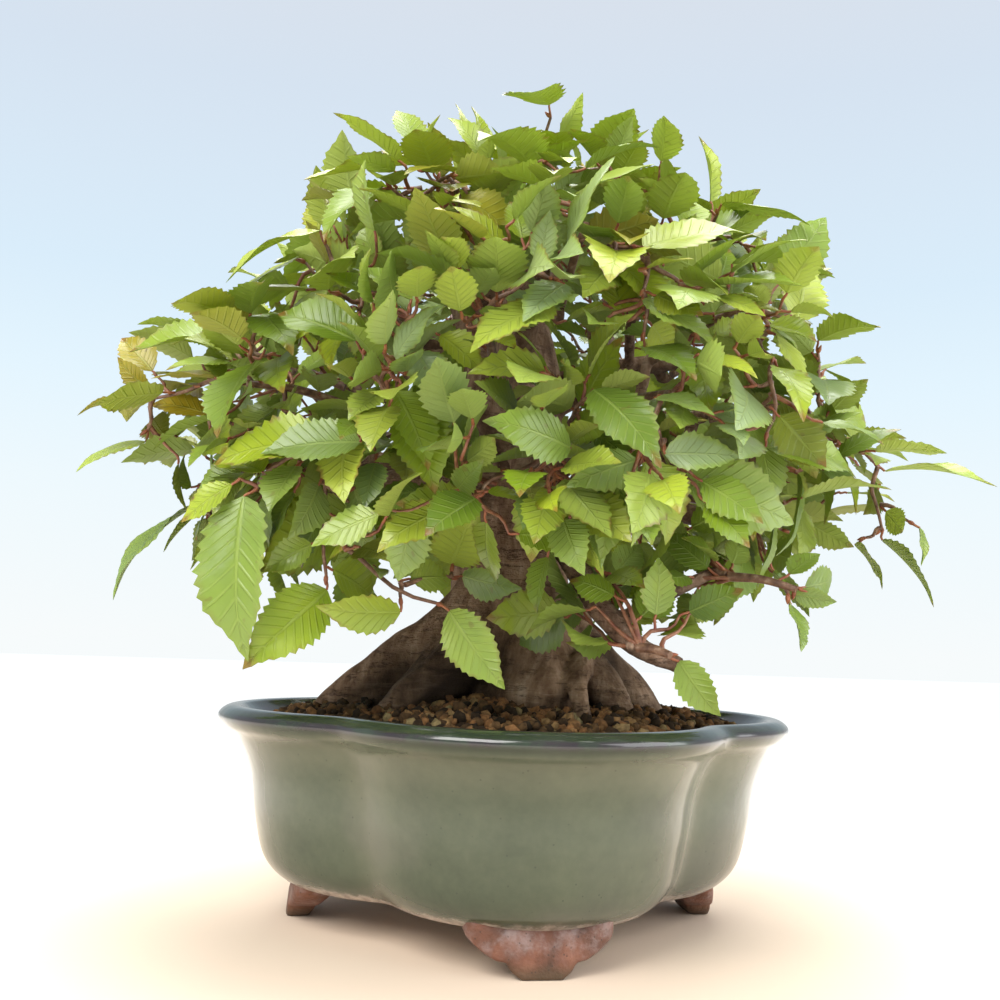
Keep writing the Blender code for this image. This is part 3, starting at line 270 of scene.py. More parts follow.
class Leaf:
    """A toothed blade on a short stalk, folded along its midrib and arched over its length."""

    def __init__(self, root, tip, facing, width, fold, arch):
        self.root = root
        self.tip = tip
        self.ahead = unit(tip - root)
        self.facing = unit(facing - self.ahead * facing.dot(self.ahead))
        self.left = np.cross(self.facing, self.ahead)
        self.length = np.linalg.norm(tip - root)
        self.width = width * self.length
        self.fold = fold
        self.arch = arch

    def point(self, along, across):
        """Along runs from 0 at the blade's base to 1 at its tip, and across from -1 to 1 over its width."""
        half = self.width / 2 * math.sin(math.pi * max(along, 0.0) ** 0.72) ** 0.85 if 0 < along < 1 else 0.0
        sideways = across * half
        if along <= 0:
            sideways = across * STALK_WIDTH / 2
        lift = abs(sideways) * math.tan(self.fold)
        lift += self.arch * self.length * 4 * max(along, 0.0) * (1 - along)
        forward = self.ahead * along * self.length
        return self.root + forward + self.left * sideways + self.facing * lift

    def rim(self, grow):
        """The toothed outline from the base round by the right side, the tip and the left side."""
        stations = SMALL_LEAF_STATIONS if self.length < SMALL_LEAF else LARGE_LEAF_STATIONS
        right = [(s, -v * grow) for s, v in stations]
        left = [(s, v * grow) for s, v in reversed(stations)]
        return [(0, -1)] + right + [(1, 0)] + left + [(0, 1)]

    def blade(self, thick, grow=1.0):
        """Points of both faces, and their triangles, split alike. The stalk's end stays open."""
        rim = self.rim(grow)
        top = np.array([self.point(s, v) for s, v in rim] + [self.point(0.4, 0)])
        edge, size = len(rim), len(rim) + 1
        upper = [(edge, i, (i + 1) % edge) for i in range(edge)]
        lower = [(a + size, c + size, b + size) for a, b, c in upper]
        wall = []
        for i in range(edge - 1):
            wall += [(i, i + size, i + 1 + size), (i, i + 1 + size, i + 1)]
        points = np.concatenate([top, top - self.facing * thick]) + self.facing * thick / 2
        return points, upper + lower + wall

    def solid(self, thick=LEAF_THICK, grow=1.0):
        """The closed blade by itself."""
        points, faces = self.blade(thick, grow)
        size = len(points) // 2
        last = size - 2
        return points, faces + [(last, last + size, size), (last, size, 0)]

    def tree(self, thick, grow):
        verts, faces = self.solid(thick, grow)
        return BVHTree.FromPolygons(verts.tolist(), faces)


class Plan:
    """The wood's segments and the leaves placed so far, with the tests that keep them apart."""

    def __init__(self):
        self.starts = np.zeros((0, 3))
        self.ends = np.zeros((0, 3))
        self.radii = np.zeros(0)
        self.owners = np.zeros(0, int)
        self.sprays = []
        self.leaves = []
        self.trees = []
        self.middles = np.zeros((0, 3))

    def add_wood(self, points, radii, owner):
        points = np.asarray(points, float)
        self.starts = np.concatenate([self.starts, points[:-1]])
        self.ends = np.concatenate([self.ends, points[1:]])
        self.radii = np.concatenate([self.radii, np.maximum(radii[:-1], radii[1:])])
        self.owners = np.concatenate([self.owners, np.full(len(points) - 1, owner)])

    def add_spray(self, base, end):
        """A main twig from its base on a branch out towards the canopy's surface, a little bent."""
        bend = (base + end) / 2 + np.array([0, 0, 0.05 * np.linalg.norm(end - base)])
        points = np.array([base, bend, end])
        self.sprays.append({"points": points, "leaves": []})
        self.add_wood(points, np.array([TWIG_RADIUS] * 3), len(self.sprays) - 1)

    def wood_clear(self, points, radius, others):
        """Whether a line of that radius stays clear of the wood that a mask picks out."""
        shares = np.linspace(0, 1, 24)[:, None]
        line = np.concatenate([start + (end - start) * shares for start, end in zip(points[:-1], points[1:])])
        gaps = segment_distance(line, self.starts[others], self.ends[others]) - self.radii[others]
        return bool((gaps > radius + CLEARANCE).all())

    def nearest_twig(self, root):
        """The spray whose wood is nearest to the root, and where on that wood its twiglet starts."""
        twigs = np.flatnonzero(self.owners >= 0)
        gaps = segment_distance(root[None], self.starts[twigs], self.ends[twigs])[0]
        nearest = twigs[int(np.argmin(gaps))]
        start, along = self.starts[nearest], self.ends[nearest] - self.starts[nearest]
        length = np.linalg.norm(along)
        share = (root - start).dot(along) / length**2 - 0.6 * gaps.min() / length
        owner = self.owners[nearest]
        spread = 0.02 * (len(self.sprays[owner]["leaves"]) % 8)
        return owner, start + along * np.clip(share, 0.16 + spread, 0.94 - spread)

    def twiglet_fits(self, start, root, spray):
        length = np.linalg.norm(root - start)
        if length > LONGEST_TWIGLET:
            return False
        line = start + (root - start) * np.linspace(0, 1, max(3, int(length / 0.1)))[:, None]
        others = self.owners != spray
        gaps = segment_distance(line, self.starts[others], self.ends[others])
        if (gaps < self.radii[others] + TWIGLET_RADIUS + CLEARANCE).any():
            return False
        near = np.flatnonzero(np.linalg.norm(self.middles - (start + root) / 2, axis=1) < length / 2 + 2.4)
        for index in near:
            for point in line[::2]:
                gap = self.trees[index].find_nearest(point.tolist(), TWIGLET_RADIUS + CLEARANCE)
                if gap[0] is not None:
                    return False
        return True

    def leaf_fits(self, leaf, spray):
        verts, _ = leaf.solid()
        across = np.hypot(verts[:, 0], verts[:, 1])
        floor = np.where(across > 6.0, LOWEST_LEAF_OVER_RIM, LOWEST_LEAF)
        if (verts[:, 2] < floor).any():
            return False
        half = len(verts) // 2
        top = verts[:half]
        hub = top[-1]
        samples = np.concatenate([top, (top + np.roll(top, -1, axis=0)) / 2, top[:-1] * 0.5 + hub * 0.5])
        gaps = segment_distance(samples, self.starts, self.ends) - self.radii[None]
        own = (self.owners == spray)[None] & (np.linalg.norm(samples - leaf.root, axis=1) < 0.45)[:, None]
        if ((gaps < CLEARANCE + LEAF_THICK / 2) & ~own).any():
            return False
        tree = leaf.tree(0.16, 1.06)
        for start, end, radius in zip(self.starts, self.ends, self.radii):
            length = np.linalg.norm(end - start)
            if np.linalg.norm((start + end) / 2 - hub) > length / 2 + 2.6:
                continue
            for point in start + (end - start) * np.linspace(0, 1, max(3, int(length / 0.12)))[:, None]:
                near_root = np.linalg.norm(point - leaf.root) < 0.45
                if not near_root and tree.find_nearest(point.tolist(), radius + CLEARANCE)[0] is not None:
                    return False
        near = np.flatnonzero(np.linalg.norm(self.middles - hub, axis=1) < 4.0)
        return not any(self.trees[index].overlap(tree) for index in near)

    def place(self, leaf):
        spray, start = self.nearest_twig(leaf.root)
        if unit(leaf.root - start).dot(leaf.ahead) < -0.1 or not self.twiglet_fits(start, leaf.root, spray):
            return False
        if not self.leaf_fits(leaf, spray):
            return False
        self.sprays[spray]["leaves"].append((start, leaf))
        self.add_wood([start, leaf.root], np.array([TWIGLET_RADIUS] * 2), spray)
        self.leaves.append(leaf)
        self.trees.append(leaf.tree(0.1, 1.03))
        self.middles = np.concatenate([self.middles, leaf.point(0.4, 0)[None]])
        return True


def place_sprays(plan):
    """Every main twig: spread evenly over the dome, and turned a little where wood is in the way."""
    for k in range(SPRAYS_BY_RULE):
        sine = LOWEST_SINE + (1 - LOWEST_SINE) * (k + 0.5) / SPRAYS_BY_RULE
        for turn in TURNS_TRIED:
            azimuth = k * GOLDEN_ANGLE + turn
            base = dome_point(azimuth, sine, SPRAY_BASE_LEVEL)
            end = dome_point(azimuth, sine, SPRAY_END_LEVEL)
            if plan.wood_clear([base, end], TWIG_RADIUS, plan.owners >= -1):
                plan.add_spray(base, end)
                break
    for start, end in EXTRA_SHOOTS:
        plan.add_spray(np.array(start), np.array(end))


def limb_knots():
    """Places along the limbs, four to a stretch, each with the radius there."""
    places = []
    for limb in LIMBS:
        knots = np.array(limb)
        for start, end in zip(knots[:-1], knots[1:]):
            places += [start + (end - start) * share for share in (0.0, 0.25, 0.5, 0.75)]
        places.append(knots[-1])
    return places


def branch_to(plan, number):
    """A branch to a spray from the nearest place on a limb that has a free way to it."""
    twig = plan.sprays[number]["points"]
    ahead = unit(twig[-1] - twig[0])
    base = twig[0] - ahead * GAP
    ranked = []
    for knot in limb_knots():
        away = base - knot[:3]
        cost = np.linalg.norm(away) - 0.6 * unit(away).dot(ahead) + 0.4 * max(-away[2], 0)
        ranked.append((cost, knot))
    ranked.sort(key=lambda pair: pair[0])
    others = (plan.owners >= 0) & (plan.owners != number)
    for _, knot in ranked:
        length = np.linalg.norm(base - knot[:3])
        points = np.array([knot[:3], base - ahead * min(0.4, length * 0.4), base])
        radii = [min(0.2, knot[3] * 0.8), TWIG_RADIUS * 1.35, TWIG_RADIUS * 1.2]
        if plan.wood_clear(points, max(radii), others):
            return points, radii
    raise ValueError(f"no free way to spray {number}")


def planned():
    """The whole canopy: the limbs' branches, the sprays and every leaf, by seeded rules."""
    draw = random.Random(SEED)
    plan = Plan()
    for spine in [TRUNK] + ROOTS + LIMBS:
        knots = np.array(spine)
        plan.add_wood(knots[:, :3], knots[:, 3], -1)
    place_sprays(plan)
    branches = [branch_to(plan, number) for number in range(len(plan.sprays))]
    for points, radii in branches:
        plan.add_wood(points, np.array(radii), -1)
    for x, z, tip_x, tip_z in SHOWN_LEAVES:
        place_shown(plan, draw, x, z, tip_x, tip_z)
    plan.shown = len(plan.leaves)
    for k in range(LEAVES_BY_RULE):
        place_by_rule(plan, draw, k)
    return plan, branches


def scatter(draw, spread):
    return np.array([draw.gauss(0, spread) for _ in range(3)])


def place_shown(plan, draw, x, z, tip_x, tip_z):
    """A leaf seen from the front: its root and tip lie on their lines of sight, near the canopy's surface."""
    for attempt in range(TRIES_PER_LEAF):
        loose = 0.06 * attempt
        root = sight_point(x, z, 0.93 - 0.01 * attempt) + scatter(draw, loose)
        nearer = sight_point(tip_x, tip_z, 1.0 + 0.01 * attempt)[1] - root[1]
        depth = root[1] + np.clip(nearer, -LEAF_DEPTH, LEAF_DEPTH)
        tip = at_depth(np.array([tip_x, 0, tip_z]), depth) + scatter(draw, loose)
        facing = dome_normal((root + tip) / 2) * 1.2 + np.array([draw.gauss(0, 0.25), -0.25, 0.45])
        width, fold, arch = draw.uniform(0.52, 0.64), draw.uniform(2, 18), draw.uniform(0.02, 0.09)
        if plan.place(Leaf(root, tip, facing, width, math.radians(fold), arch)):
            return


def place_by_rule(plan, draw, k):
    """One of the leaves spread evenly over the whole dome, hanging down and out."""
    sine = LOWEST_SINE + (1 - LOWEST_SINE) * (k + 0.5) / LEAVES_BY_RULE
    for attempt in range(TRIES_PER_LEAF):
        azimuth = k * GOLDEN_ANGLE * 1.003 + draw.gauss(0, 0.05 + 0.01 * attempt)
        height = min(0.985, max(LOWEST_SINE, sine + draw.gauss(0, 0.04)))
        root = dome_point(azimuth, height, draw.uniform(0.8, 0.93))
        out = dome_normal(root)
        down = unit(np.array([0, 0, -1.0]) - out * -out[2])
        side = np.cross(out, down)
        turn = draw.gauss(0, 0.75)
        ahead = down * math.cos(turn) + side * math.sin(turn) + out * draw.uniform(0.1, 0.65)
        length = draw.uniform(2.1, 3.3) * (1 - 0.02 * attempt)
        facing = out + np.array([draw.gauss(0, 0.3), draw.gauss(0, 0.3), draw.uniform(0.2, 0.9)])
        width, fold, arch = draw.uniform(0.54, 0.66), draw.uniform(0, 20), draw.uniform(0.02, 0.1)
        tip = root + unit(ahead) * length
        if plan.place(Leaf(root, tip, facing, width, math.radians(fold), arch)):
            return


# Fine leaves
LARGE_BLADE = (12, (-1, -0.68, -0.34, 0, 0.34, 0.68, 1))  # teeth along a margin, and places over the width
SMALL_BLADE = (9, (-1, -0.6, 0, 0.6, 1))
TIP_VEIN = LARGE_BLADE[0] + 0.5  # the pattern counts side veins, up to this at every blade's tip
LARGE_FROM = 1.95  # length of the blades that are cut finer
VEIN_SLANT = 0.85  # how far a side vein runs forward from the midrib to the margin
BLADE_THICK = 0.026
TOOTH_DEPTH = 0.08  # share of the half width
TOOTH_FORWARD = 0.016  # share of the length
STALK_RADIUS = 0.034
SHOOT_RADIUS = 0.055
LEAF_SPACING = 0.66  # along a shoot
SIDE_ANGLES = (38, 66)  # degrees between a shoot and its side leaves
SIDE_LENGTHS, SIDE_WIDTHS = (1.25, 2.2), (0.6, 0.76)  # widths are shares of the length
END_LENGTHS, END_WIDTHS = (1.1, 2.1), (0.56, 0.7)
FINE_SOLID = (0.03, 1.0)  # thickness and growth of the solid that keeps fine leaves apart
FINE_GAP = 0.02  # to thick wood
THICK_WOOD = 0.1
NEAR_LEAVES = 3.4  # leaves further apart can't touch
MORE_SHOOTS = 520
MORE_TURN = 1.007  # golden angles between one of these shoots and the next
TRIES_PER_SHOOT = 4
LONGEST_SHOOT = 4.2
# Shoots that hang before the tree and at its sides: how many, and x and z of their ends seen from the front
FRONT_SHOOTS = (
    (170, (-9.0, 8.0), (8.2, 13.5)),
    (170, (-4.5, 6.5), (12.0, 20.0)),
    (90, (-12.6, -7.0), (8.4, 17.0)),
)
# The canopy's outline from the front, as x and z on the upright plane through the trunk
FRONT_OUTLINE = np.array([
    (-12.8, 8.3), (-13.3, 14.0), (-12.0, 16.6), (-9.7, 18.4), (-6.8, 20.0), (-6.8, 22.7), (-4.3, 23.9),
    (-2.6, 24.4), (0.4, 24.6), (3.6, 24.4), (6.1, 22.6), (9.1, 21.3), (9.3, 17.7), (10.9, 14.4), (14.0, 12.5),
    (11.9, 8.8), (8.6, 5.5), (-8.0, 5.5),
])
OUTERMOST = 1.22  # level of the dome that the tips of fine leaves stay within
FINE_WIDTH = 0.94  # of the modelled blades' width
FINE_LENGTH = 0.86  # of the length of the modelled blades that are placed by rule
FINE_SEED = 23
LEVEL = np.array([0, 0, 1.15])  # added to the canopy's normal, it turns a leaf's face up

# Places from the front, as x and z on the upright plane through the trunk, where leaves differ
YOUNG_PLACES = [(-10.9, 14.4), (-9.3, 17.6), (-3.1, 21.0), (-2.0, 20.7), (-6.8, 19.9), (3.9, 19.6)]
PALE_PLACES = [(0.9, 18.2), (1.3, 19.9), (-3.0, 16.2), (6.2, 13.6)]
YOUNG_REACH, PALE_REACH = 1.3, 1.2  # of those places
YOUNG_DEPTH = 3.0  # leaves further back aren't young for their place
YOUTH_BY_LENGTH = ((1.9, 2.8), (1.0, 0.3))  # lengths, and the share of its youth that a leaf shows
SIZE_LOST = 0.16  # share of a side leaf's length, for each place that had no room
YOUNG_SIZE_LOST = 0.3


def turned(x, y, angle):
    """Places turned about the pot's axis."""
    c, s = math.cos(angle), math.sin(angle)
    return x * c - y * s, x * s + y * c


def to_frame(points, turn=TREE_TURN):
    """Plan centimetres, turned about the pot's axis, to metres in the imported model's frame."""
    x, y, z = np.moveaxis(np.asarray(points, float), -1, 0)
    placed = np.stack([*turned(x, y, turn), z - SOLE_HEIGHT], axis=-1) * CM
    return placed + POT_BOX.mean(axis=0) * (1, 1, 0)


def grid_faces(rows, columns, around=False):
    """Quads between the rows of a grid of points. With around the last column meets the first."""
    row, column = np.meshgrid(np.arange(rows - 1), np.arange(columns - (not around)), indexing="ij")
    beside = (column + 1) % columns
    here, above = row * columns, (row + 1) * columns
    return np.stack([here + column, here + beside, above + beside, above + column], axis=-1).reshape(-1, 4)


def closed_faces(rows, columns):
    """Quads round a stack of rings, and a face over its first ring and over its last."""
    ring = np.arange(columns)
    ends = np.array([ring[::-1], (rows - 1) * columns + ring])
    return [grid_faces(rows, columns, around=True), ends]


def round_axis(reach, angle, height):
    """Points at a reach and an angle from the pot's axis, and at a height."""
    height = np.broadcast_to(height, np.shape(reach))
    return np.stack([reach * np.cos(angle), reach * np.sin(angle), height], axis=-1)


def in_scene(name, data):
    """A new object in the scene."""
    item = bpy.data.objects.new(name, data)
    bpy.context.scene.collection.objects.link(item)
    return item


def fill_ramp(ramp, stops):
    """Give a colour ramp its places and colours."""
    while len(ramp.elements) < len(stops):
        ramp.elements.new(0.5)
    for element, (place, colour) in zip(ramp.elements, stops):
        element.position = place
        element.color = (*colour, 1.0)


class Surface:
    """Points and faces gathered for one piece, with each point's pattern place and traits."""

    def __init__(self):
        self.points, self.faces, self.places, self.traits, self.slots = [], [], [], [], []
        self.count = 0

    def add(self, points, faces, place=None, traits=(0, 0, 0), slot=0, shift=None):
        """Faces are arrays of corner numbers. Shift moves the pattern of each array of faces."""
        points = np.asarray(points, float).reshape(-1, 3)
        size = len(points)
        self.points.append(points)
        self.places.append(np.zeros((size, 2)) if place is None else np.asarray(place, float).reshape(-1, 2))
        self.traits.append(np.broadcast_to(np.asarray(traits, float), (size, 3)))
        for number, array in enumerate(faces):
            self.faces.append(np.asarray(array, int) + self.count)
            self.slots.append((slot, 0.0 if shift is None else shift[number]))
        self.count += size

    def mesh(self, name):
        mesh = bpy.data.meshes.new(name)
        points = np.concatenate(self.points)
        corners = np.concatenate([array.ravel() for array in self.faces])
        sizes = np.concatenate([np.full(len(array), array.shape[1]) for array in self.faces])
        mesh.vertices.add(len(points))
        mesh.vertices.foreach_set("co", points.astype(np.float32).ravel())
        mesh.loops.add(len(corners))
        mesh.loops.foreach_set("vertex_index", corners.astype(np.int32))
        mesh.polygons.add(len(sizes))
        mesh.polygons.foreach_set("loop_start", (np.cumsum(sizes) - sizes).astype(np.int32))
        slots = np.concatenate([np.full(len(a), slot) for a, (slot, _) in zip(self.faces, self.slots)])
        mesh.polygons.foreach_set("material_index", slots.astype(np.int32))
        mesh.update(calc_edges=True)
        shifts = np.concatenate([np.full(a.size, shift) for a, (_, shift) in zip(self.faces, self.slots)])
        place = np.concatenate(self.places)[corners]
        place[:, 0] += shifts
        layer = mesh.uv_layers.new(name="pattern")
        layer.data.foreach_set("uv", place.astype(np.float32).ravel())
        traits = mesh.attributes.new("traits", "FLOAT_VECTOR", "POINT")
        traits.data.foreach_set("vector", np.concatenate(self.traits).astype(np.float32).ravel())
        if mesh.validate():
            raise ValueError(f"{name} has faulty faces")
        mesh.shade_smooth()
        return mesh


def finished(name, mesh, looks, nodes):
    """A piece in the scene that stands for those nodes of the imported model."""
    piece = in_scene(name, mesh)
    for look in looks:
        mesh.materials.append(look)
    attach(piece, "root")
    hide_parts(*nodes)
    return piece


def rounded(knots, per_stretch):
    """Catmull-Rom points through the knots: each stretch is a cubic with the slope of its neighbours."""
    knots = np.asarray(knots, float)
    padded = np.concatenate([2 * knots[:1] - knots[1:2], knots, 2 * knots[-1:] - knots[-2:-1]])
    a, b, c, d = (padded[i:len(padded) - 3 + i, None] for i in range(4))
    t = np.linspace(0, 1, per_stretch, endpoint=False)[None, :, None]
    square, cube = a - 2.5 * b + 2 * c - d / 2, 1.5 * b - a / 2 - 1.5 * c + d / 2
    curve = b + t * (c - a) / 2 + t**2 * square + t**3 * cube
    return np.concatenate([curve.reshape(-1, knots.shape[1]), knots[-1:]])


def ring_frames(points):
    """Two directions across a path at each of its points, carried along without twist."""
    ahead = np.gradient(points, axis=0)
    ahead /= np.linalg.norm(ahead, axis=1)[:, None]
    side = np.cross(ahead[0], (0, 0, 1.0) if abs(ahead[0][2]) < 0.9 else (1.0, 0, 0))
    sides = []
    for direction in ahead:
        side = unit(side - direction * side.dot(direction))
        sides.append(side)
    sides = np.array(sides)
    return sides, np.cross(ahead, sides)


def tube(points, radii, sides, swell=None):
    """A closed round limb: points(i, j) = path(i) + radius(i) (cos a(j) side(i) + sin a(j) up(i))."""
    points = np.asarray(points, float)
    right, up = ring_frames(points)
    angle = np.linspace(0, 2 * math.pi, sides, endpoint=False)
    size = np.asarray(radii, float)[:, None] * np.ones((1, sides))
    if swell is not None:
        size = size * swell(angle, points)
    ring = np.cos(angle)[None, :, None] * right[:, None] + np.sin(angle)[None, :, None] * up[:, None]
    surface = points[:, None] + size[..., None] * ring
    return surface.reshape(-1, 3), closed_faces(len(points), sides)


def blades(leaves, traits, cut, surface):
    """Both faces of many toothed blades at once, added to the surface.

    Row s of a blade follows a side vein: it leaves the midrib at s - VEIN_SLANT s (1 - s) and meets the
    margin at s. Column v runs over the width, so with a(s, v) between those two a point is
    root + ahead L a + left v half(s) tooth(s) + facing h, and its height h is
    |v| half tan(fold) + 4 arch L a (1 - a) + ripple between the veins + wave of the margin - droop of the
    tip. The underside lies BLADE_THICK below along the blade's own normal, and meets the top at the margin.
    """
    teeth, places = cut
    shape = np.random.default_rng(FINE_SEED + len(leaves))
    count, rows, columns = len(leaves), 2 * teeth + 2, len(places)

    def each(values):
        return np.array(values, float)[:, None, None]

    length, width = each([leaf.length for leaf in leaves]), each([leaf.width for leaf in leaves])
    fold, arch = each([leaf.fold for leaf in leaves]), each([leaf.arch for leaf in leaves])
    row = np.arange(rows)
    tip = np.where((row == 0) | (row == rows - 1), 0.0, np.where(row % 2, 1.0, -1.0))[None, :, None]
    margin = (row / (rows - 1))[None, :, None] + TOOTH_FORWARD * (tip > 0)
    across = np.array(places, float)[None, None, :]
    out = np.abs(across)
    middle = margin - VEIN_SLANT * margin * (1 - margin)
    along = middle + (margin - middle) * out
    half = width / 2 * np.sin(math.pi * np.clip(margin, 0, 1) ** 0.72).clip(1e-4) ** 0.85
    half = half * (1 - 0.3 * np.clip((margin - 0.72) / 0.2, 0, 1) * np.clip((1 - margin) / 0.1, 0, 1))
    half = np.maximum(half, np.where(margin < 0.5, STALK_RADIUS, 0.006))
    depth = TOOTH_DEPTH * shape.uniform(0.6, 1.35, (count, rows, 1))
    sideways = across * half * (1 + depth * tip * out**6)
    sideways = sideways * (1 + shape.uniform(-0.07, 0.07, (count, 1, 1)) * np.sign(across))
    ripple = length * shape.uniform(0.004, 0.008, (count, 1, 1)) * -tip * 4 * out * (1 - out)
    phase = shape.uniform(0, 2 * math.pi, (count, 1, 2))[:, :, (np.array(places) > 0).astype(int)]
    wave = length * shape.uniform(0.008, 0.042, (count, 1, 1)) * out**2 * np.sin(9 * margin + phase)
    droop = length * shape.uniform(-0.1, 0.55, (count, 1, 1)) * np.clip(along - 0.6, 0, 1) ** 2
    round_side = shape.uniform(-0.25, 0.35, (count, 1, 1)) * sideways**2 / width
    height = np.abs(sideways) * np.tan(fold) + 4 * arch * length * along * (1 - along)
    height = height + (ripple + wave) * np.sin(math.pi * np.clip(margin, 0, 1)) - droop - round_side
    twist = shape.normal(0, 0.16, (count, 1, 1)) * (along - 0.15)
    sideways, height = (sideways * np.cos(twist) - height * np.sin(twist),
                        height * np.cos(twist) + sideways * np.sin(twist))

    def axis(name):
        return np.array([getattr(leaf, name) for leaf in leaves])[:, None, None, :]

    top = axis("root") + axis("ahead") * (along * length)[..., None]
    top = top + axis("left") * sideways[..., None] + axis("facing") * height[..., None]
    thick = BLADE_THICK * (1 - out**4) * np.ones_like(margin)
    normal = np.cross(np.gradient(top, axis=1), np.gradient(top, axis=2))
    normal /= np.linalg.norm(normal, axis=-1, keepdims=True).clip(1e-9)
    normal *= np.sign((normal * axis("facing")).sum(axis=-1, keepdims=True))
    under = top - normal * thick[..., None]
    inner = np.zeros((rows, columns), bool)
    inner[1:-1, 1:-1] = True
    own = rows * columns
    number = np.arange(own).reshape(rows, columns)
    lower = np.where(inner, own + np.cumsum(inner).reshape(rows, columns) - 1, number)
    upper_faces = grid_faces(rows, columns)
    lower_faces = lower.ravel()[upper_faces][:, ::-1]
    stride = own + inner.sum()
    vein = TIP_VEIN + (row[:, None] - rows + 1) / 2
    place = np.stack(np.broadcast_arrays(0.5 + across[0] / 2, vein), axis=-1).reshape(-1, 2)
    place = np.concatenate([place, place[inner.ravel()]])
    points = np.concatenate([top.reshape(count, own, 3), under[:, inner]], axis=1)
    start = (np.arange(count) * stride)[:, None, None]
    faces = [(upper_faces[None] + start).reshape(-1, 4), (lower_faces[None] + start).reshape(-1, 4)]
    place, traits = np.tile(place, (count, 1)), np.repeat(traits, stride, axis=0)
    surface.add(points, faces, place, traits, shift=(0.0, 2.0))


def in_box(points, margin=0.0006):
    """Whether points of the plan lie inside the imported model's box, and clear of its sides by a margin."""
    placed = to_frame(points)
    low, high = np.array(CAD_BOX)
    return bool((placed > low + margin).all() and (placed < high - margin).all())


def in_outline(point):
    """Whether a point is seen inside the outline: beside it, a level line crosses an odd number of sides."""
    x, z = front_place(point)
    here, there = FRONT_OUTLINE, np.roll(FRONT_OUTLINE, -1, axis=0)
    spans = (here[:, 1] > z) != (there[:, 1] > z)
    here, there = here[spans], there[spans]
    crossing = here[:, 0] + (z - here[:, 1]) * (there[:, 0] - here[:, 0]) / (there[:, 1] - here[:, 1])
    return int((crossing > x).sum()) % 2 == 1


def has_room(plan, leaf):
    """Whether a fine leaf stays in the model's box, over the soil, and clear of leaves and thick wood."""
    corners, _ = leaf.solid()
    floor = np.where(np.hypot(corners[:, 0], corners[:, 1]) > 6.0, LOWEST_LEAF_OVER_RIM, LOWEST_LEAF)
    if not in_box(corners) or (corners[:, 2] < floor).any():
        return False
    if dome_level(leaf.tip) > OUTERMOST or not in_outline(leaf.tip):
        return False
    thick = plan.radii > THICK_WOOD
    samples = corners[:len(corners) // 2]
    gaps = segment_distance(samples, plan.starts[thick], plan.ends[thick]) - plan.radii[thick]
    if (gaps < FINE_GAP).any():
        return False
    tree = leaf.tree(*FINE_SOLID)
    near = np.flatnonzero(np.linalg.norm(plan.middles - samples[-1], axis=1) < NEAR_LEAVES)
    return not any(plan.trees[index].overlap(tree) for index in near)


def shoot_fits(plan, start, end):
    """Whether a thin shoot between two places is short enough and misses every leaf."""
    length = np.linalg.norm(end - start)
    if length > LONGEST_SHOOT:
        return False
    line = start + (end - start) * np.linspace(0, 1, max(3, int(length / 0.15)))[:, None]
    near = np.flatnonzero(np.linalg.norm(plan.middles - (start + end) / 2, axis=1) < length / 2 + 1.6)
    for index in near:
        for point in line.tolist():
            if plan.trees[index].find_nearest(point, SHOOT_RADIUS)[0] is not None:
                return False
    return True


def keep(plan, leaf):
    """Take a fine leaf into the plan, so that later ones stay clear of it."""
    plan.trees.append(leaf.tree(*FINE_SOLID))
    plan.middles = np.concatenate([plan.middles, leaf.point(0.4, 0)[None]])


def bent(draw, start, end, amount=0.05, count=7):
    """Points of a twig that wanders a little between two places."""
    share = np.linspace(0, 1, count)[:, None]
    bow, wiggle = scatter(draw, amount), scatter(draw, amount)
    sway = np.sin(math.pi * share) * bow + np.sin(2 * math.pi * share) * wiggle
    return start + (end - start) * share + sway * np.linalg.norm(end - start)


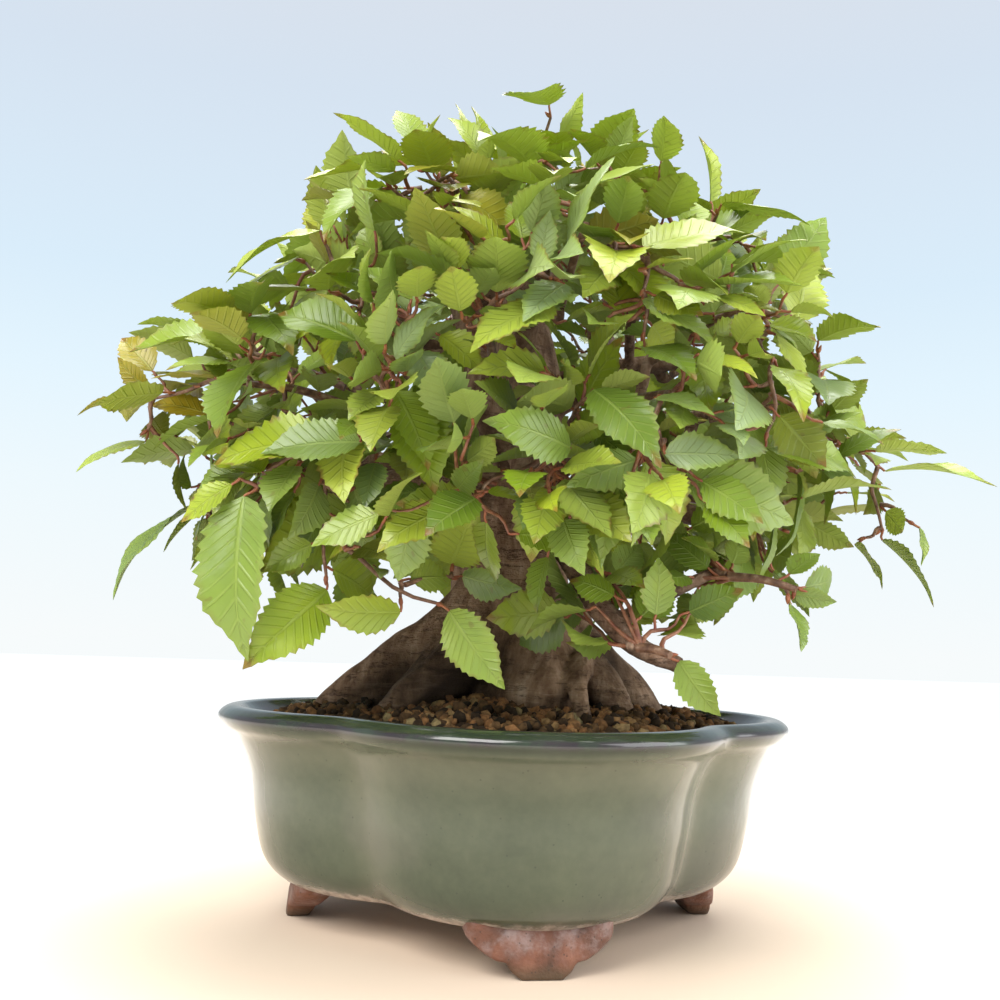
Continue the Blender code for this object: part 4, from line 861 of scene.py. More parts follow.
class FineSpray:
    """What a spray shows: its twigs as paths with radii and age, its leaves with their traits, its buds."""

    def __init__(self):
        self.twigs, self.leaves, self.buds = [], [], []

    def add_leaf(self, draw, axil, leaf, youth):
        """A leaf with its red stalk from the axil."""
        stalk = bent(draw, axil, leaf.root, 0.04, 5)
        self.twigs.append((stalk, np.linspace(1.15, 0.9, 5) * STALK_RADIUS, 0.0))
        near = [math.dist(place, front_place(leaf.point(0.5, 0))) for place in YOUNG_PLACES + PALE_PLACES]
        young = min(near[:len(YOUNG_PLACES)]) < YOUNG_REACH and leaf.root[1] < YOUNG_DEPTH
        pale = min(near[len(YOUNG_PLACES):]) < PALE_REACH and not young
        youth = max(youth, 0.9 if young else 0.0) * float(np.interp(leaf.length, *YOUTH_BY_LENGTH))
        # Painted light and shade: leaves higher up and further out on the canopy are lighter, lower and inner
        # ones darker, with a random part drawn on top.
        light = 0.26 + 0.035 * (leaf.root[2] - 8.0) + 0.5 * (dome_level(leaf.root) - 0.8)
        light += draw.gauss(0, 0.24)
        paleness = 1.0 if pale else draw.uniform(0, 0.5) ** 1.4
        self.leaves.append((leaf, (youth, paleness, min(1.0, max(0.0, light)))))

    def add_shoot(self, plan, draw, path, facing, youth, first=0.45):
        """Leaves by turns to the left and right along a path, on the side that faces out."""
        steps = np.linalg.norm(np.diff(path, axis=0), axis=1)
        length = steps.sum()
        reach = np.concatenate([[0], np.cumsum(steps)])
        side = draw.choice([-1, 1])
        place = first + draw.uniform(0, 0.3)
        while place < length - 0.2:
            axil = np.array([np.interp(place, reach, path[:, k]) for k in range(3)])
            ahead = unit(path[-1] - path[0])
            self.side_leaf(plan, draw, axil, ahead, facing, side, youth)
            side = -side
            place += LEAF_SPACING * draw.uniform(0.8, 1.25)

    def side_leaf(self, plan, draw, axil, ahead, facing, side, youth):
        """One leaf beside a shoot, in the first of a few drawn places that has room, smaller each time."""
        for attempt in range(TRIES_PER_SHOOT):
            up = unit(facing - ahead * facing.dot(ahead) + scatter(draw, 0.2))
            beside = np.cross(up, ahead) * side
            turn = math.radians(draw.uniform(*SIDE_ANGLES))
            onward = unit(ahead * math.cos(turn) + beside * math.sin(turn) + up * draw.uniform(-0.25, 0.2))
            size = draw.uniform(*SIDE_LENGTHS) * (1 - SIZE_LOST * attempt) * (1 - YOUNG_SIZE_LOST * youth)
            root = axil + onward * draw.uniform(0.22, 0.4) + up * 0.05
            tilt = up + scatter(draw, 0.22)
            width, fold, arch = draw.uniform(*SIDE_WIDTHS), draw.uniform(0, 24), draw.uniform(0.01, 0.09)
            leaf = Leaf(root, root + onward * size, tilt, width, math.radians(fold), arch)
            if has_room(plan, leaf):
                keep(plan, leaf)
                self.add_leaf(draw, axil, leaf, youth)
                return


def front_place(point):
    """Where a point is seen from the front, as x and z on the upright plane through the trunk."""
    share = -EYE[1] / (point[1] - EYE[1])
    return EYE[0] + (point[0] - EYE[0]) * share, EYE[2] + (point[2] - EYE[2]) * share


@functools.cache
def growth():
    """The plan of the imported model, and what each of its sprays shows."""
    plan, branches = planned()
    draw = random.Random(FINE_SEED)
    fine = [FineSpray() for _ in plan.sprays]
    for spray, own in zip(plan.sprays, fine):
        main = rounded(spray["points"], 4)
        own.twigs.append((main, np.linspace(1.0, 0.7, len(main)) * TWIG_RADIUS, 1.0))
        for start, leaf in spray["leaves"]:
            away = unit(leaf.root - start)
            axil = leaf.root - away * min(0.35, 0.6 * np.linalg.norm(leaf.root - start))
            path = bent(draw, start, axil)
            own.twigs.append((path, np.linspace(1.3, 0.75, len(path)) * SHOOT_RADIUS, 0.45))
            width = FINE_WIDTH * leaf.width / leaf.length
            facing = leaf.facing + LEVEL * draw.uniform(0.2, 0.7)
            shown = any(leaf is other for other in plan.leaves[:plan.shown])
            tip = leaf.root + (leaf.tip - leaf.root) * (1.0 if shown else FINE_LENGTH)
            own.add_leaf(draw, axil, Leaf(leaf.root, tip, facing, width, leaf.fold, leaf.arch), 0.0)
            own.buds.append((axil, unit(away + scatter(draw, 0.4))))
    for spray, own in zip(plan.sprays, fine):
        facing = dome_normal(spray["points"][-1]) + LEVEL
        own.add_shoot(plan, draw, spray["points"], facing, 0.0)
        for start, leaf in spray["leaves"]:
            path = np.array([start, leaf.root])
            own.add_shoot(plan, draw, path, leaf.facing + LEVEL, draw.uniform(0, 0.25))
    for k in range(MORE_SHOOTS):
        sine = LOWEST_SINE + (1 - LOWEST_SINE) * (k + 0.5) / MORE_SHOOTS
        for _ in range(TRIES_PER_SHOOT):
            azimuth = k * GOLDEN_ANGLE * MORE_TURN + draw.gauss(0, 0.08)
            height = min(0.98, max(-0.6, sine + draw.gauss(0, 0.05)))
            if add_outer_shoot(plan, draw, dome_point(azimuth, height, draw.uniform(0.66, 1.03)), fine):
                break
    for count, across, height in FRONT_SHOOTS:
        for _ in range(count):
            for _ in range(TRIES_PER_SHOOT):
                x, z = draw.uniform(*across), draw.uniform(*height)
                if add_outer_shoot(plan, draw, sight_point(x, z, draw.uniform(0.8, 1.05)), fine):
                    break
    return plan, branches, fine


def add_outer_shoot(plan, draw, end, fine):
    """A thin shoot from the nearest twig to a place near the canopy's surface, ending in a small leaf."""
    number, start = plan.nearest_twig(end)
    out = dome_normal(end)
    if not shoot_fits(plan, start, end):
        return False
    ahead = unit(unit(end - start) * 0.7 + out * 0.6 + scatter(draw, 0.35))
    facing = out + LEVEL + scatter(draw, 0.3)
    root = end + ahead * 0.25
    tip = root + ahead * draw.uniform(*END_LENGTHS)
    leaf = Leaf(root, tip, facing, draw.uniform(*END_WIDTHS), draw.uniform(0.05, 0.4), 0.05)
    if not has_room(plan, leaf):
        return False
    keep(plan, leaf)
    own = fine[number]
    path = bent(draw, start, end)
    own.twigs.append((path, np.linspace(1.1, 0.6, len(path)) * SHOOT_RADIUS, 0.25))
    youth = draw.choice([0.0, 0.0, 0.0, 0.3])
    own.add_leaf(draw, end, leaf, youth)
    own.add_shoot(plan, draw, path, facing, youth * 0.6, first=0.3)
    return True


def foliage_surface(own):
    """Twigs and stalks in slot 1 and blades in slot 0, for one spray."""
    surface = Surface()
    for path, radii, age in own.twigs:
        points, faces = tube(path, radii, 6)
        surface.add(points, faces, traits=(age, 0, 0), slot=1)
    for place, ahead in own.buds:
        knots = place + ahead * np.array([[0.0], [0.05], [0.12], [0.2], [0.25]])
        points, faces = tube(knots, (0.03, 0.055, 0.06, 0.035, 0.008), 6)
        surface.add(points, faces, traits=(-0.3, 0, 0), slot=1)
    for cut, large in ((LARGE_BLADE, True), (SMALL_BLADE, False)):
        chosen = [(leaf, traits) for leaf, traits in own.leaves if (leaf.length > LARGE_FROM) == large]
        if chosen:
            blades([leaf for leaf, _ in chosen], np.array([traits for _, traits in chosen]), cut, surface)
    surface.points = [to_frame(points) for points in surface.points]
    return surface


# Trunk
TRUNK_VOXEL = 0.095
FLUTES = 0.07  # share of the radius
KNOBBED_BELOW = 14.5  # height; knobs are on the trunk and its roots, and weaker away from the axis
# Dark hollows between the roots: place, reach and depth of the shade
HOLLOWS = [((-1.9, -1.7, 5.9), 1.5, 1.0), ((-0.7, -1.7, 6.9), 0.9, 0.7), ((2.5, -0.9, 6.8), 0.95, 1.0),
           ((2.3, -1.4, 5.6), 0.8, 1.0), ((-3.6, -1.6, 5.2), 1.3, 0.9)]


def wave_noise(points, scale, seed, waves=28):
    """Smooth noise from -1 to 1 or so: the sum of sines along many seeded directions."""
    shape = np.random.default_rng(seed)
    directions = shape.normal(0, 1, (waves, 3)) * scale
    phases = shape.uniform(0, 2 * math.pi, waves)
    total = np.zeros(len(points))
    for direction, phase in zip(directions, phases):
        total += np.sin(points @ direction + phase)
    return total / math.sqrt(waves)


def fluted(angle, points):
    """Shallow ribs that wind a little up the wood."""
    angle, height = angle[None], points[:, 2:]
    return 1 + FLUTES * (np.sin(3 * angle + height * 0.35) + 0.5 * np.sin(7 * angle - height * 0.5))


def wood_surface(branches):
    """Trunk, roots, limbs and branches as overlapping closed limbs."""
    surface = Surface()
    for spine in [TRUNK] + ROOTS:
        knots = rounded(spine, 6)
        points, faces = tube(knots[:, :3], knots[:, 3], 32, fluted)
        surface.add(points, faces)
    for limb in LIMBS:
        knots = rounded(limb, 5)
        points, faces = tube(knots[:, :3], knots[:, 3], 14)
        surface.add(points, faces)
    for line, radii in branches:
        knots = rounded(np.column_stack([line, radii]), 5)
        points, faces = tube(knots[:, :3], knots[:, 3] * 0.92, 10)
        surface.add(points, faces)
    return surface


def grown_together(surface, name):
    """One skin over all the limbs: cubes of TRUNK_VOXEL, smoothed, then raised and sunk along its normals."""
    rough = in_scene(name + "_rough", surface.mesh(name + "_rough"))
    skin = rough.modifiers.new("skin", "REMESH")
    skin.mode = "VOXEL"
    skin.voxel_size = TRUNK_VOXEL
    ease = rough.modifiers.new("ease", "SMOOTH")
    ease.factor, ease.iterations = 0.5, 4
    graph = bpy.context.evaluated_depsgraph_get()
    mesh = bpy.data.meshes.new_from_object(rough.evaluated_get(graph))
    bpy.data.objects.remove(rough)
    points, normals = np.zeros((2, len(mesh.vertices), 3))
    mesh.vertices.foreach_get("co", points.reshape(-1))
    mesh.vertices.foreach_get("normal", normals.reshape(-1))
    thick = (points[:, 2] < KNOBBED_BELOW) * np.clip(
        1.6 - np.hypot(points[:, 0], points[:, 1]) / 4.5, 0.12, 1)
    knobs = wave_noise(points, 0.9, 3) * 0.06 + wave_noise(points, 2.6, 4) * 0.035
    wrinkles = wave_noise(points * (1.2, 1.2, 5.0), 1.3, 5) * 0.012 + wave_noise(points, 7.0, 6) * 0.008
    points = points + normals * (thick * knobs + wrinkles * (0.35 + 0.65 * thick))[:, None]
    mesh.vertices.foreach_set("co", to_frame(points).astype(np.float32).ravel())
    # Painted shade, kept as the first trait: darker in the hollows between the roots and where the wood faces
    # down.
    shade = sum(depth * np.exp(-((points - place) ** 2).sum(axis=1) / size**2)
                for place, size, depth in HOLLOWS)
    shade = shade + 0.8 * np.clip(-normals[:, 2] - 0.05, 0, 1)
    traits = np.stack([np.clip(shade, 0, 1), thick, np.zeros(len(points))], axis=1)
    layer = mesh.attributes.new("traits", "FLOAT_VECTOR", "POINT")
    layer.data.foreach_set("vector", traits.astype(np.float32).ravel())
    mesh.update()
    mesh.shade_smooth()
    return mesh


# Pot
POT_ANGLES = 288
SECTION_STEPS = 7
FOOT_STEPS = 5
FOOT_RINGS = [(-1, 0.02), (-1, 0.45), (-1, 0.84), (-0.96, 0.92), (-0.84, 0.98), (-0.5, 1), (0, 1), (0.5, 1),
              (0.84, 0.98), (0.96, 0.92), (1, 0.84), (1, 0.45), (1, 0.02)]  # place along the depth, and size
FOOT_MIDDLE = 0.85  # the height that its rings shrink towards
ROUND_RADIUS = 2.5  # the pot's bottom is round inside it, and fully lobed from twice that on
OUTER_SECTION = [
    (LIP_INNER_RADIUS, RIM_HEIGHT - 0.14), (7.27, RIM_HEIGHT), (7.58, RIM_HEIGHT - 0.02),
    (RIM_RADIUS, RIM_HEIGHT - 0.22), (7.68, RIM_HEIGHT - 0.48), (7.3, RIM_HEIGHT - 0.82), (6.92, 3.95),
    (6.7, 2.75), (6.42, 1.8), (BASE_RADIUS, BASE_HEIGHT + 0.16), (5.35, BASE_HEIGHT),
]


def pot_surface():
    """The section carried round the axis: the point at angle a and radius r is at lobed_radius(a, r)."""
    surface = Surface()
    curve = rounded(POT_INSIDE[1:] + OUTER_SECTION, SECTION_STEPS)
    inner = [(DRAIN_RADIUS, BASE_HEIGHT), (DRAIN_RADIUS, FLOOR_HEIGHT), (ROUND_RADIUS, FLOOR_HEIGHT)]
    section = np.concatenate([inner, curve, [(ROUND_RADIUS, BASE_HEIGHT)]])
    angle = np.linspace(0, 2 * math.pi, POT_ANGLES, endpoint=False)[None, :]
    radius, height = section[:, :1], section[:, 1:]
    lobed = np.clip((radius - ROUND_RADIUS) / ROUND_RADIUS, 0, 1)
    reach = radius + (lobed_radius(angle, np.maximum(radius, 2.0)) - radius) * lobed
    points = round_axis(reach, angle, height)
    faces = grid_faces(len(section) + 1, POT_ANGLES, around=True) % (len(section) * POT_ANGLES)
    place = np.stack(np.broadcast_arrays(angle / (2 * math.pi), height / 10), axis=-1)
    surface.add(to_frame(points, 0.0), [faces[:, ::-1]], place)
    return surface


def foot_surface(surface, radius, angle):
    """A scrolled outline carried along its depth, thinned towards the sole and leaned outwards."""
    top = BASE_HEIGHT + FOOT_BURY
    half = rounded([(FOOT_SCROLL[0][0], top)] + FOOT_SCROLL, FOOT_STEPS)
    half[:, 1] = np.maximum(half[:, 1], SOLE_HEIGHT)
    outline = np.concatenate([half, (half * (-1, 1))[::-1]])
    depth, size = np.array(FOOT_RINGS).T[:, :, None]
    across = outline[None, :, 0] * size
    up = FOOT_MIDDLE + (outline[None, :, 1] - FOOT_MIDDLE) * size
    fall = (top - up) / (top - SOLE_HEIGHT)
    out = radius + depth * FOOT_DEPTH / 2 * (1 - FOOT_TAPER * fall) + FOOT_LEAN * fall
    out = out - across**2 / (2 * FOOT_BEND_RADIUS)
    points = np.stack([*turned(out, across, angle), up], axis=-1)
    surface.add(to_frame(points, 0.0), closed_faces(*up.shape))


# Soil
GRAINS = 5200
GRAIN_RADIUS = 0.135
ROOT_OVERLAP = 0.12  # how deep a granule's middle may lie in a root
NEAR_ROOT, NEAR_ROOT_SIZE = 0.15, 0.6  # granules that are nearer to a root are smaller by that share
EDGE_DROP = 0.12  # of the granules by the pot's wall
EARTH_RINGS = 40
EARTH_ANGLES = 120
EARTH_DROP = 0.1  # of the ground under the granules
WOOD_HEIGHT = 6.6  # wood that starts above it has no part in the soil
PEAT_SHADE_PLACE, PEAT_SHADE_SPREAD = (-3.4, -1.2), 3.0  # near black patch by the left root: dark peaty soil with painted shade under the root


def icosahedron():
    """The twenty-sided ball: corners (0, 1, p) with p the golden ratio, under all signs and turned axes."""
    golden = (1 + math.sqrt(5)) / 2
    signs = np.array([(1, 1), (1, -1), (-1, 1), (-1, -1)])
    first = np.column_stack([np.zeros(4), signs[:, 0], signs[:, 1] * golden])
    points = np.concatenate([np.roll(first, turn, axis=1) for turn in range(3)])
    far = np.linalg.norm(points[:, None] - points[None], axis=2)
    near = (far > 0) & (far < 2.1)
    threes = itertools.combinations(range(12), 3)
    faces = np.array([(k, j, i) for i, j, k in threes if near[i, j] and near[j, k] and near[i, k]])
    a, b, c = points[faces].transpose(1, 0, 2)
    inward = (np.cross(b - a, c - a) * (a + b + c)).sum(axis=1) < 0
    faces[inward] = faces[inward][:, ::-1]
    return points / np.linalg.norm(points[0]), faces


def root_gap(x, y, top):
    """How far places on the soil are from the wood that stands in it."""
    plan, _, _ = growth()
    wood = (plan.owners == -1) & (np.minimum(plan.starts[:, 2], plan.ends[:, 2]) < WOOD_HEIGHT)
    places = np.stack([*turned(x, y, -TREE_TURN), top], axis=-1)
    return (segment_distance(places, plan.starts[wood], plan.ends[wood]) - plan.radii[wood]).min(axis=1)


def soil_height(x, y):
    """The mound, highest round the trunk, with slow bumps."""
    across = np.hypot(x, y) / LIP_INNER_RADIUS
    grain = np.sin(x * 5.3 + 1.3 * np.sin(y * 4.1)) * np.sin(y * 4.7 + 1.1 * np.sin(x * 3.7))
    return SOIL_EDGE_HEIGHT + SOIL_MOUND * np.clip(1 - across**2, 0, 1) + GRAIN_HEIGHT * grain


def earth_surface(surface):
    """The ground under the grains, and the soil's side and bottom inside the pot, as one closed lathe."""
    share = np.linspace(0.02, 1, EARTH_RINGS)[:, None]
    angle = np.linspace(0, 2 * math.pi, EARTH_ANGLES, endpoint=False)[None]
    edge = POT_INSIDE[3][0] - 1.5 * GAP
    reach = share * lobed_radius(angle, edge)
    x, y = reach * np.cos(angle), reach * np.sin(angle)
    top = np.stack([x, y, soil_height(x, y) - EARTH_DROP], axis=-1)
    low = [(POT_INSIDE[2][0] - 1.5 * GAP, POT_INSIDE[2][1]), (POT_INSIDE[1][0] - GAP, FLOOR_HEIGHT + GAP),
           (0.1, FLOOR_HEIGHT + GAP)]
    rows = [top]
    for radius, height in low:
        reach = lobed_radius(angle, radius) if radius > 1 else np.full_like(angle, radius)
        rows.append(round_axis(reach, angle, height))
    points = np.concatenate(rows)
    faces = [array[:, ::-1] for array in closed_faces(len(points), EARTH_ANGLES)]
    # The second trait at full paints this ground near black: painted shade in the gaps between the granules.
    surface.add(to_frame(points, 0.0), faces, traits=(0.15, 1.0, 0))


def grain_surface(surface):
    """Granules of baked clay: balls stretched, knobbed, turned and laid on the ground by seeded draws."""
    shape = np.random.default_rng(FINE_SEED)
    edge = POT_INSIDE[3][0] - 1.2 * GAP
    angle = shape.uniform(0, 2 * math.pi, GRAINS * 2)
    reach = np.sqrt(shape.uniform(0, 1, GRAINS * 2)) * (lobed_radius(angle, edge) - 0.1)
    x, y = reach * np.cos(angle), reach * np.sin(angle)
    gap = root_gap(x, y, soil_height(x, y))
    kept = np.flatnonzero(gap > -ROOT_OVERLAP)[:GRAINS]
    x, y, gap = x[kept], y[kept], gap[kept]
    count = len(kept)
    ball, sides = icosahedron()
    size = GRAIN_RADIUS * shape.lognormal(0, 0.24, (count, 1)).clip(0.5, 1.5)
    size = size * np.where(gap < NEAR_ROOT, NEAR_ROOT_SIZE, 1.0)[:, None]
    stretch = shape.uniform(0.72, 1.2, (count, 1, 3))
    knobs = shape.uniform(0.82, 1.2, (count, len(ball), 1))
    turns = np.linalg.qr(shape.normal(0, 1, (count, 3, 3)))[0]
    turns = turns * np.linalg.det(turns)[:, None, None]
    points = np.einsum("nij,nkj->nki", turns, ball[None] * stretch * knobs * size[:, None])
    middle = np.stack([x, y, soil_height(x, y) - EARTH_DROP + shape.uniform(-0.12, 0.16, count)], axis=-1)
    edge_share = np.hypot(x, y) / lobed_radius(np.arctan2(y, x), edge)
    middle[:, 2] -= EDGE_DROP * np.clip((edge_share - 0.9) / 0.1, 0, 1)
    points = points + middle[:, None]
    # Near black by the left root: dark peaty soil with painted shade under the root.
    peat_and_shade = np.exp(-((x - PEAT_SHADE_PLACE[0]) ** 2 + (y - PEAT_SHADE_PLACE[1]) ** 2) / PEAT_SHADE_SPREAD)
    dark = np.clip(peat_and_shade + shape.uniform(-0.3, 0.3, count) * (peat_and_shade > 0.15), 0, 1)
    traits = np.stack([shape.uniform(0, 1, count), dark, np.zeros(count)], axis=1)
    traits = np.repeat(traits, len(ball), axis=0)
    faces = (sides[None] + (np.arange(count) * len(ball))[:, None, None]).reshape(-1, 3)
    surface.add(to_frame(points, 0.0), [faces], traits=traits)


class Look:
    """A material with a Principled shader, and short ways to add nodes to it."""

    def __init__(self, name, **values):
        self.material = bpy.data.materials.new(name)
        self.material.use_nodes = True
        tree = self.material.node_tree
        self.nodes, self.links = tree.nodes, tree.links
        self.shader = self.nodes["Principled BSDF"]
        self.output = self.nodes["Material Output"]
        for key, value in values.items():
            self.feed(self.shader.inputs[key.replace("_", " ")], value)
        self.space = self.node("ShaderNodeTexCoord").outputs["Object"]

    def feed(self, socket, value):
        if isinstance(value, bpy.types.NodeSocket):
            self.links.new(value, socket)
        elif isinstance(value, tuple) and len(value) == 3 and socket.type == "RGBA":
            socket.default_value = (*value, 1.0)
        else:
            socket.default_value = value

    def node(self, kind, inputs=None, **settings):
        node = self.nodes.new(kind)
        for key, value in settings.items():
            setattr(node, key, value)
        for key, value in (inputs or {}).items():
            self.feed(node.inputs[key], value)
        return node

    def set(self, socket, value):
        self.feed(self.shader.inputs[socket], value)

    def math(self, operation, first, second=0.0, third=0.0):
        return self.node("ShaderNodeMath", {0: first, 1: second, 2: third}, operation=operation).outputs[0]

    def times(self, first, second):
        return self.math("MULTIPLY", first, second)

    def plus(self, first, second):
        return self.math("ADD", first, second)

    def minus(self, first, second):
        return self.math("SUBTRACT", first, second)

    def most(self, first, second):
        return self.math("MAXIMUM", first, second)

    def reach(self, x, y):
        """Distance from the upright axis."""
        return self.math("SQRT", self.plus(self.math("POWER", x, 2.0), self.math("POWER", y, 2.0)))

    def mix(self, share, first, second, blend="MIX"):
        node = self.node("ShaderNodeMix", data_type="RGBA", blend_type=blend)
        for number, value in ((0, share), (6, first), (7, second)):
            self.feed(node.inputs[number], value)
        return node.outputs[2]

    def step(self, value, low, high, to_low=0.0, to_high=1.0):
        """A smooth rise from one value to another."""
        inputs = {"Value": value, 1: low, 2: high, 3: to_low, 4: to_high}
        return self.node("ShaderNodeMapRange", inputs, interpolation_type="SMOOTHSTEP").outputs[0]

    def noise(self, scale, detail=3.0, rough=0.55, where=None, stretch=None):
        where = self.space if where is None else where
        if stretch:
            where = self.node("ShaderNodeMapping", {"Vector": where, "Scale": stretch}).outputs[0]
        inputs = {"Vector": where, "Scale": scale, "Detail": detail, "Roughness": rough}
        return self.node("ShaderNodeTexNoise", inputs).outputs[0]

    def specks(self, scale, where=None):
        """Distance to scattered points."""
        where = self.space if where is None else where
        return self.node("ShaderNodeTexVoronoi", {"Vector": where, "Scale": scale}).outputs[0]

    def ramp(self, share, *stops):
        node = self.node("ShaderNodeValToRGB", {0: share})
        fill_ramp(node.color_ramp, stops)
        return node.outputs[0]

    def split(self, vector):
        return self.node("ShaderNodeSeparateXYZ", {0: vector}).outputs

    def traits(self):
        return self.split(self.node("ShaderNodeAttribute", attribute_name="traits").outputs["Vector"])

    def pattern(self):
        return self.split(self.node("ShaderNodeUVMap", uv_map="pattern").outputs[0])

    def bump(self, height, distance, strength=1.0, under=None):
        inputs = {"Height": height, "Distance": distance, "Strength": strength}
        if under is not None:
            inputs["Normal"] = under
        return self.node("ShaderNodeBump", inputs).outputs[0]


def leaf_look(colours):
    """Green blade with side veins on its rows, a paler underside, brown margins, and light through it.
    Painted light and shade from the third trait: lime high up and out on the canopy, deep green within and
    below.
    """
    look = Look("hornbeam_leaf", Specular_IOR_Level=0.55)
    across, row, _ = look.pattern()
    youth, pale, lightness = look.traits()
    under = look.math("GREATER_THAN", across, 1.5)
    across = look.minus(across, look.times(under, 2.0))
    out = look.times(look.math("ABSOLUTE", look.minus(across, 0.5)), 2.0)
    from_vein = look.minus(0.5, look.math("PINGPONG", row, 0.5))
    side_vein = look.step(from_vein, 0.05, 0.16, 1.0, 0.0)
    midrib = look.step(out, 0.03, 0.09, 1.0, 0.0)
    vein = look.most(midrib, look.times(side_vein, look.step(out, 0.5, 1.0, 0.75, 0.25)))
    cloud = look.noise(90.0, 3.0)
    # The third trait is painted light and shade by the leaf's place in the canopy, with a random part: it
    # takes the green from deep to lime.
    tone = look.plus(look.times(lightness, 0.75), look.times(cloud, 0.4))
    green = look.ramp(tone, (0.12, tuple(colours.deep_green)), (0.5, tuple(colours.green)),
                      (0.95, tuple(colours.lime_green)))
    green = look.mix(look.times(pale, 0.8), green, tuple(colours.pale_green))
    young = look.ramp(lightness, (0.0, (0.42, 0.16, 0.02)), (0.35, (0.44, 0.3, 0.02)), (0.8, (0.36, 0.42, 0.03)))
    green = look.mix(youth, green, young)
    edge = look.times(look.step(out, 0.55, 1.0, 0.0, 0.6), look.step(pale, 0.1, 0.7))
    green = look.mix(edge, green, (0.3, 0.42, 0.03))
    green = look.mix(look.times(vein, 0.26), green, (0.46, 0.56, 0.13))
    worn = look.times(look.step(out, 0.8, 1.0), look.step(look.noise(230.0, 2.0), 0.46, 0.6))
    green = look.mix(look.times(worn, look.step(lightness, 0.3, 0.8, 0.2, 0.85)), green, (0.2, 0.085, 0.03))
    end = look.plus(row, look.times(look.minus(look.noise(300.0, 2.0), 0.5), 1.6))
    dry = look.times(look.step(end, TIP_VEIN - 1.5, TIP_VEIN - 0.5), look.step(pale, 0.06, 0.2, 0.7, 0.0))
    green = look.mix(dry, green, (0.28, 0.1, 0.03))
    spots = look.step(look.noise(420.0, 1.0), 0.7, 0.76)
    green = look.mix(look.times(spots, 0.4), green, (0.16, 0.09, 0.03))
    dull = look.mix(0.45, green, (0.3, 0.38, 0.09))
    colour = look.mix(under, green, dull)
    look.set("Base Color", colour)
    look.set("Roughness", look.step(look.plus(under, look.times(cloud, 0.3)), 0.0, 1.1, 0.27, 0.62))
    relief = look.plus(look.times(vein, -1.0), look.times(look.noise(420.0, 2.0), 0.3))
    look.set("Normal", look.bump(relief, 0.0003, 0.8))
    glow = look.node("ShaderNodeBsdfTranslucent", {"Color": look.mix(0.6, colour, (0.5, 0.62, 0.02))})
    shares = {0: colours.light_through, 1: look.shader.outputs[0], 2: glow.outputs[0]}
    both = look.node("ShaderNodeMixShader", shares)
    look.links.new(both.outputs[0], look.output.inputs[0])
    return look.material


def twig_look():
    """Dark red-brown bark, redder on stalks and buds."""
    look = Look("twig", Roughness=0.5)
    age, _, _ = look.traits()
    mottle = look.noise(500.0, 3.0)
    old = look.ramp(mottle, (0.3, (0.075, 0.033, 0.02)), (0.58, (0.21, 0.11, 0.065)),
                    (0.78, (0.42, 0.3, 0.21)))
    young = look.ramp(mottle, (0.3, (0.19, 0.04, 0.02)), (0.7, (0.34, 0.13, 0.05)))
    look.set("Base Color", look.mix(look.step(age, 0.05, 0.5), young, old))
    look.set("Normal", look.bump(look.noise(1400.0, 2.0), 0.0002, 0.7))
    return look.material


def bark_look():
    """Grey-beige bark with brown hollows and pale lenticels, darker by the soil, pinkish on thin limbs.
    Painted shade near black in the hollows between the roots and under wood that faces down.
    """
    look = Look("hornbeam_bark", Roughness=0.82, Specular_IOR_Level=0.2)
    x, y, z = look.split(look.space)
    far = look.reach(x, y)
    broad = look.noise(70.0, 4.0, 0.6)
    lines = look.noise(260.0, 4.0, 0.65, stretch=(1.0, 1.0, 0.3))
    colour = look.ramp(look.plus(look.times(broad, 0.6), look.times(lines, 0.45)),
                       (0.36, (0.06, 0.032, 0.015)), (0.5, (0.15, 0.088, 0.045)), (0.6, (0.28, 0.18, 0.105)),
                       (0.74, (0.48, 0.36, 0.25)))
    limb = look.ramp(lines, (0.35, (0.13, 0.07, 0.045)), (0.55, (0.32, 0.2, 0.14)), (0.75, (0.5, 0.36, 0.27)))
    high = look.step(look.plus(z, look.times(far, 0.9)), 0.07, 0.125)
    colour = look.mix(look.times(high, 0.75), colour, limb)
    rings = look.noise(150.0, 5.0, 0.7, stretch=(0.5, 0.5, 3.2))
    wrinkle = look.times(look.step(rings, 0.52, 0.66), look.step(z, 0.075, 0.055, 0.0, 0.45))
    colour = look.mix(wrinkle, colour, (0.4, 0.29, 0.2))
    crack = look.step(look.math("ABSOLUTE", look.minus(rings, 0.42)), 0.0, 0.016, 0.55, 0.0)
    colour = look.mix(crack, colour, (0.035, 0.02, 0.012))
    lenticels = look.times(look.step(look.specks(520.0), 0.1, 0.22, 1.0, 0.0), high)
    colour = look.mix(look.times(lenticels, 0.3), colour, (0.5, 0.38, 0.28))
    painted_shade, _, _ = look.traits()
    # Near black towards the soil, and painted shade near black from the first trait: in the hollows between
    # the roots and under wood that faces down.
    low = look.most(look.step(z, 0.05, 0.062, 0.8, 0.0), look.times(painted_shade, 0.95))
    look.set("Base Color", look.mix(low, colour, (0.02, 0.012, 0.007)))
    relief = look.plus(lines, look.times(look.noise(1300.0, 3.0), 0.4))
    relief = look.minus(look.plus(relief, rings), crack)
    look.set("Normal", look.bump(relief, 0.0011, 0.9))
    return look.material


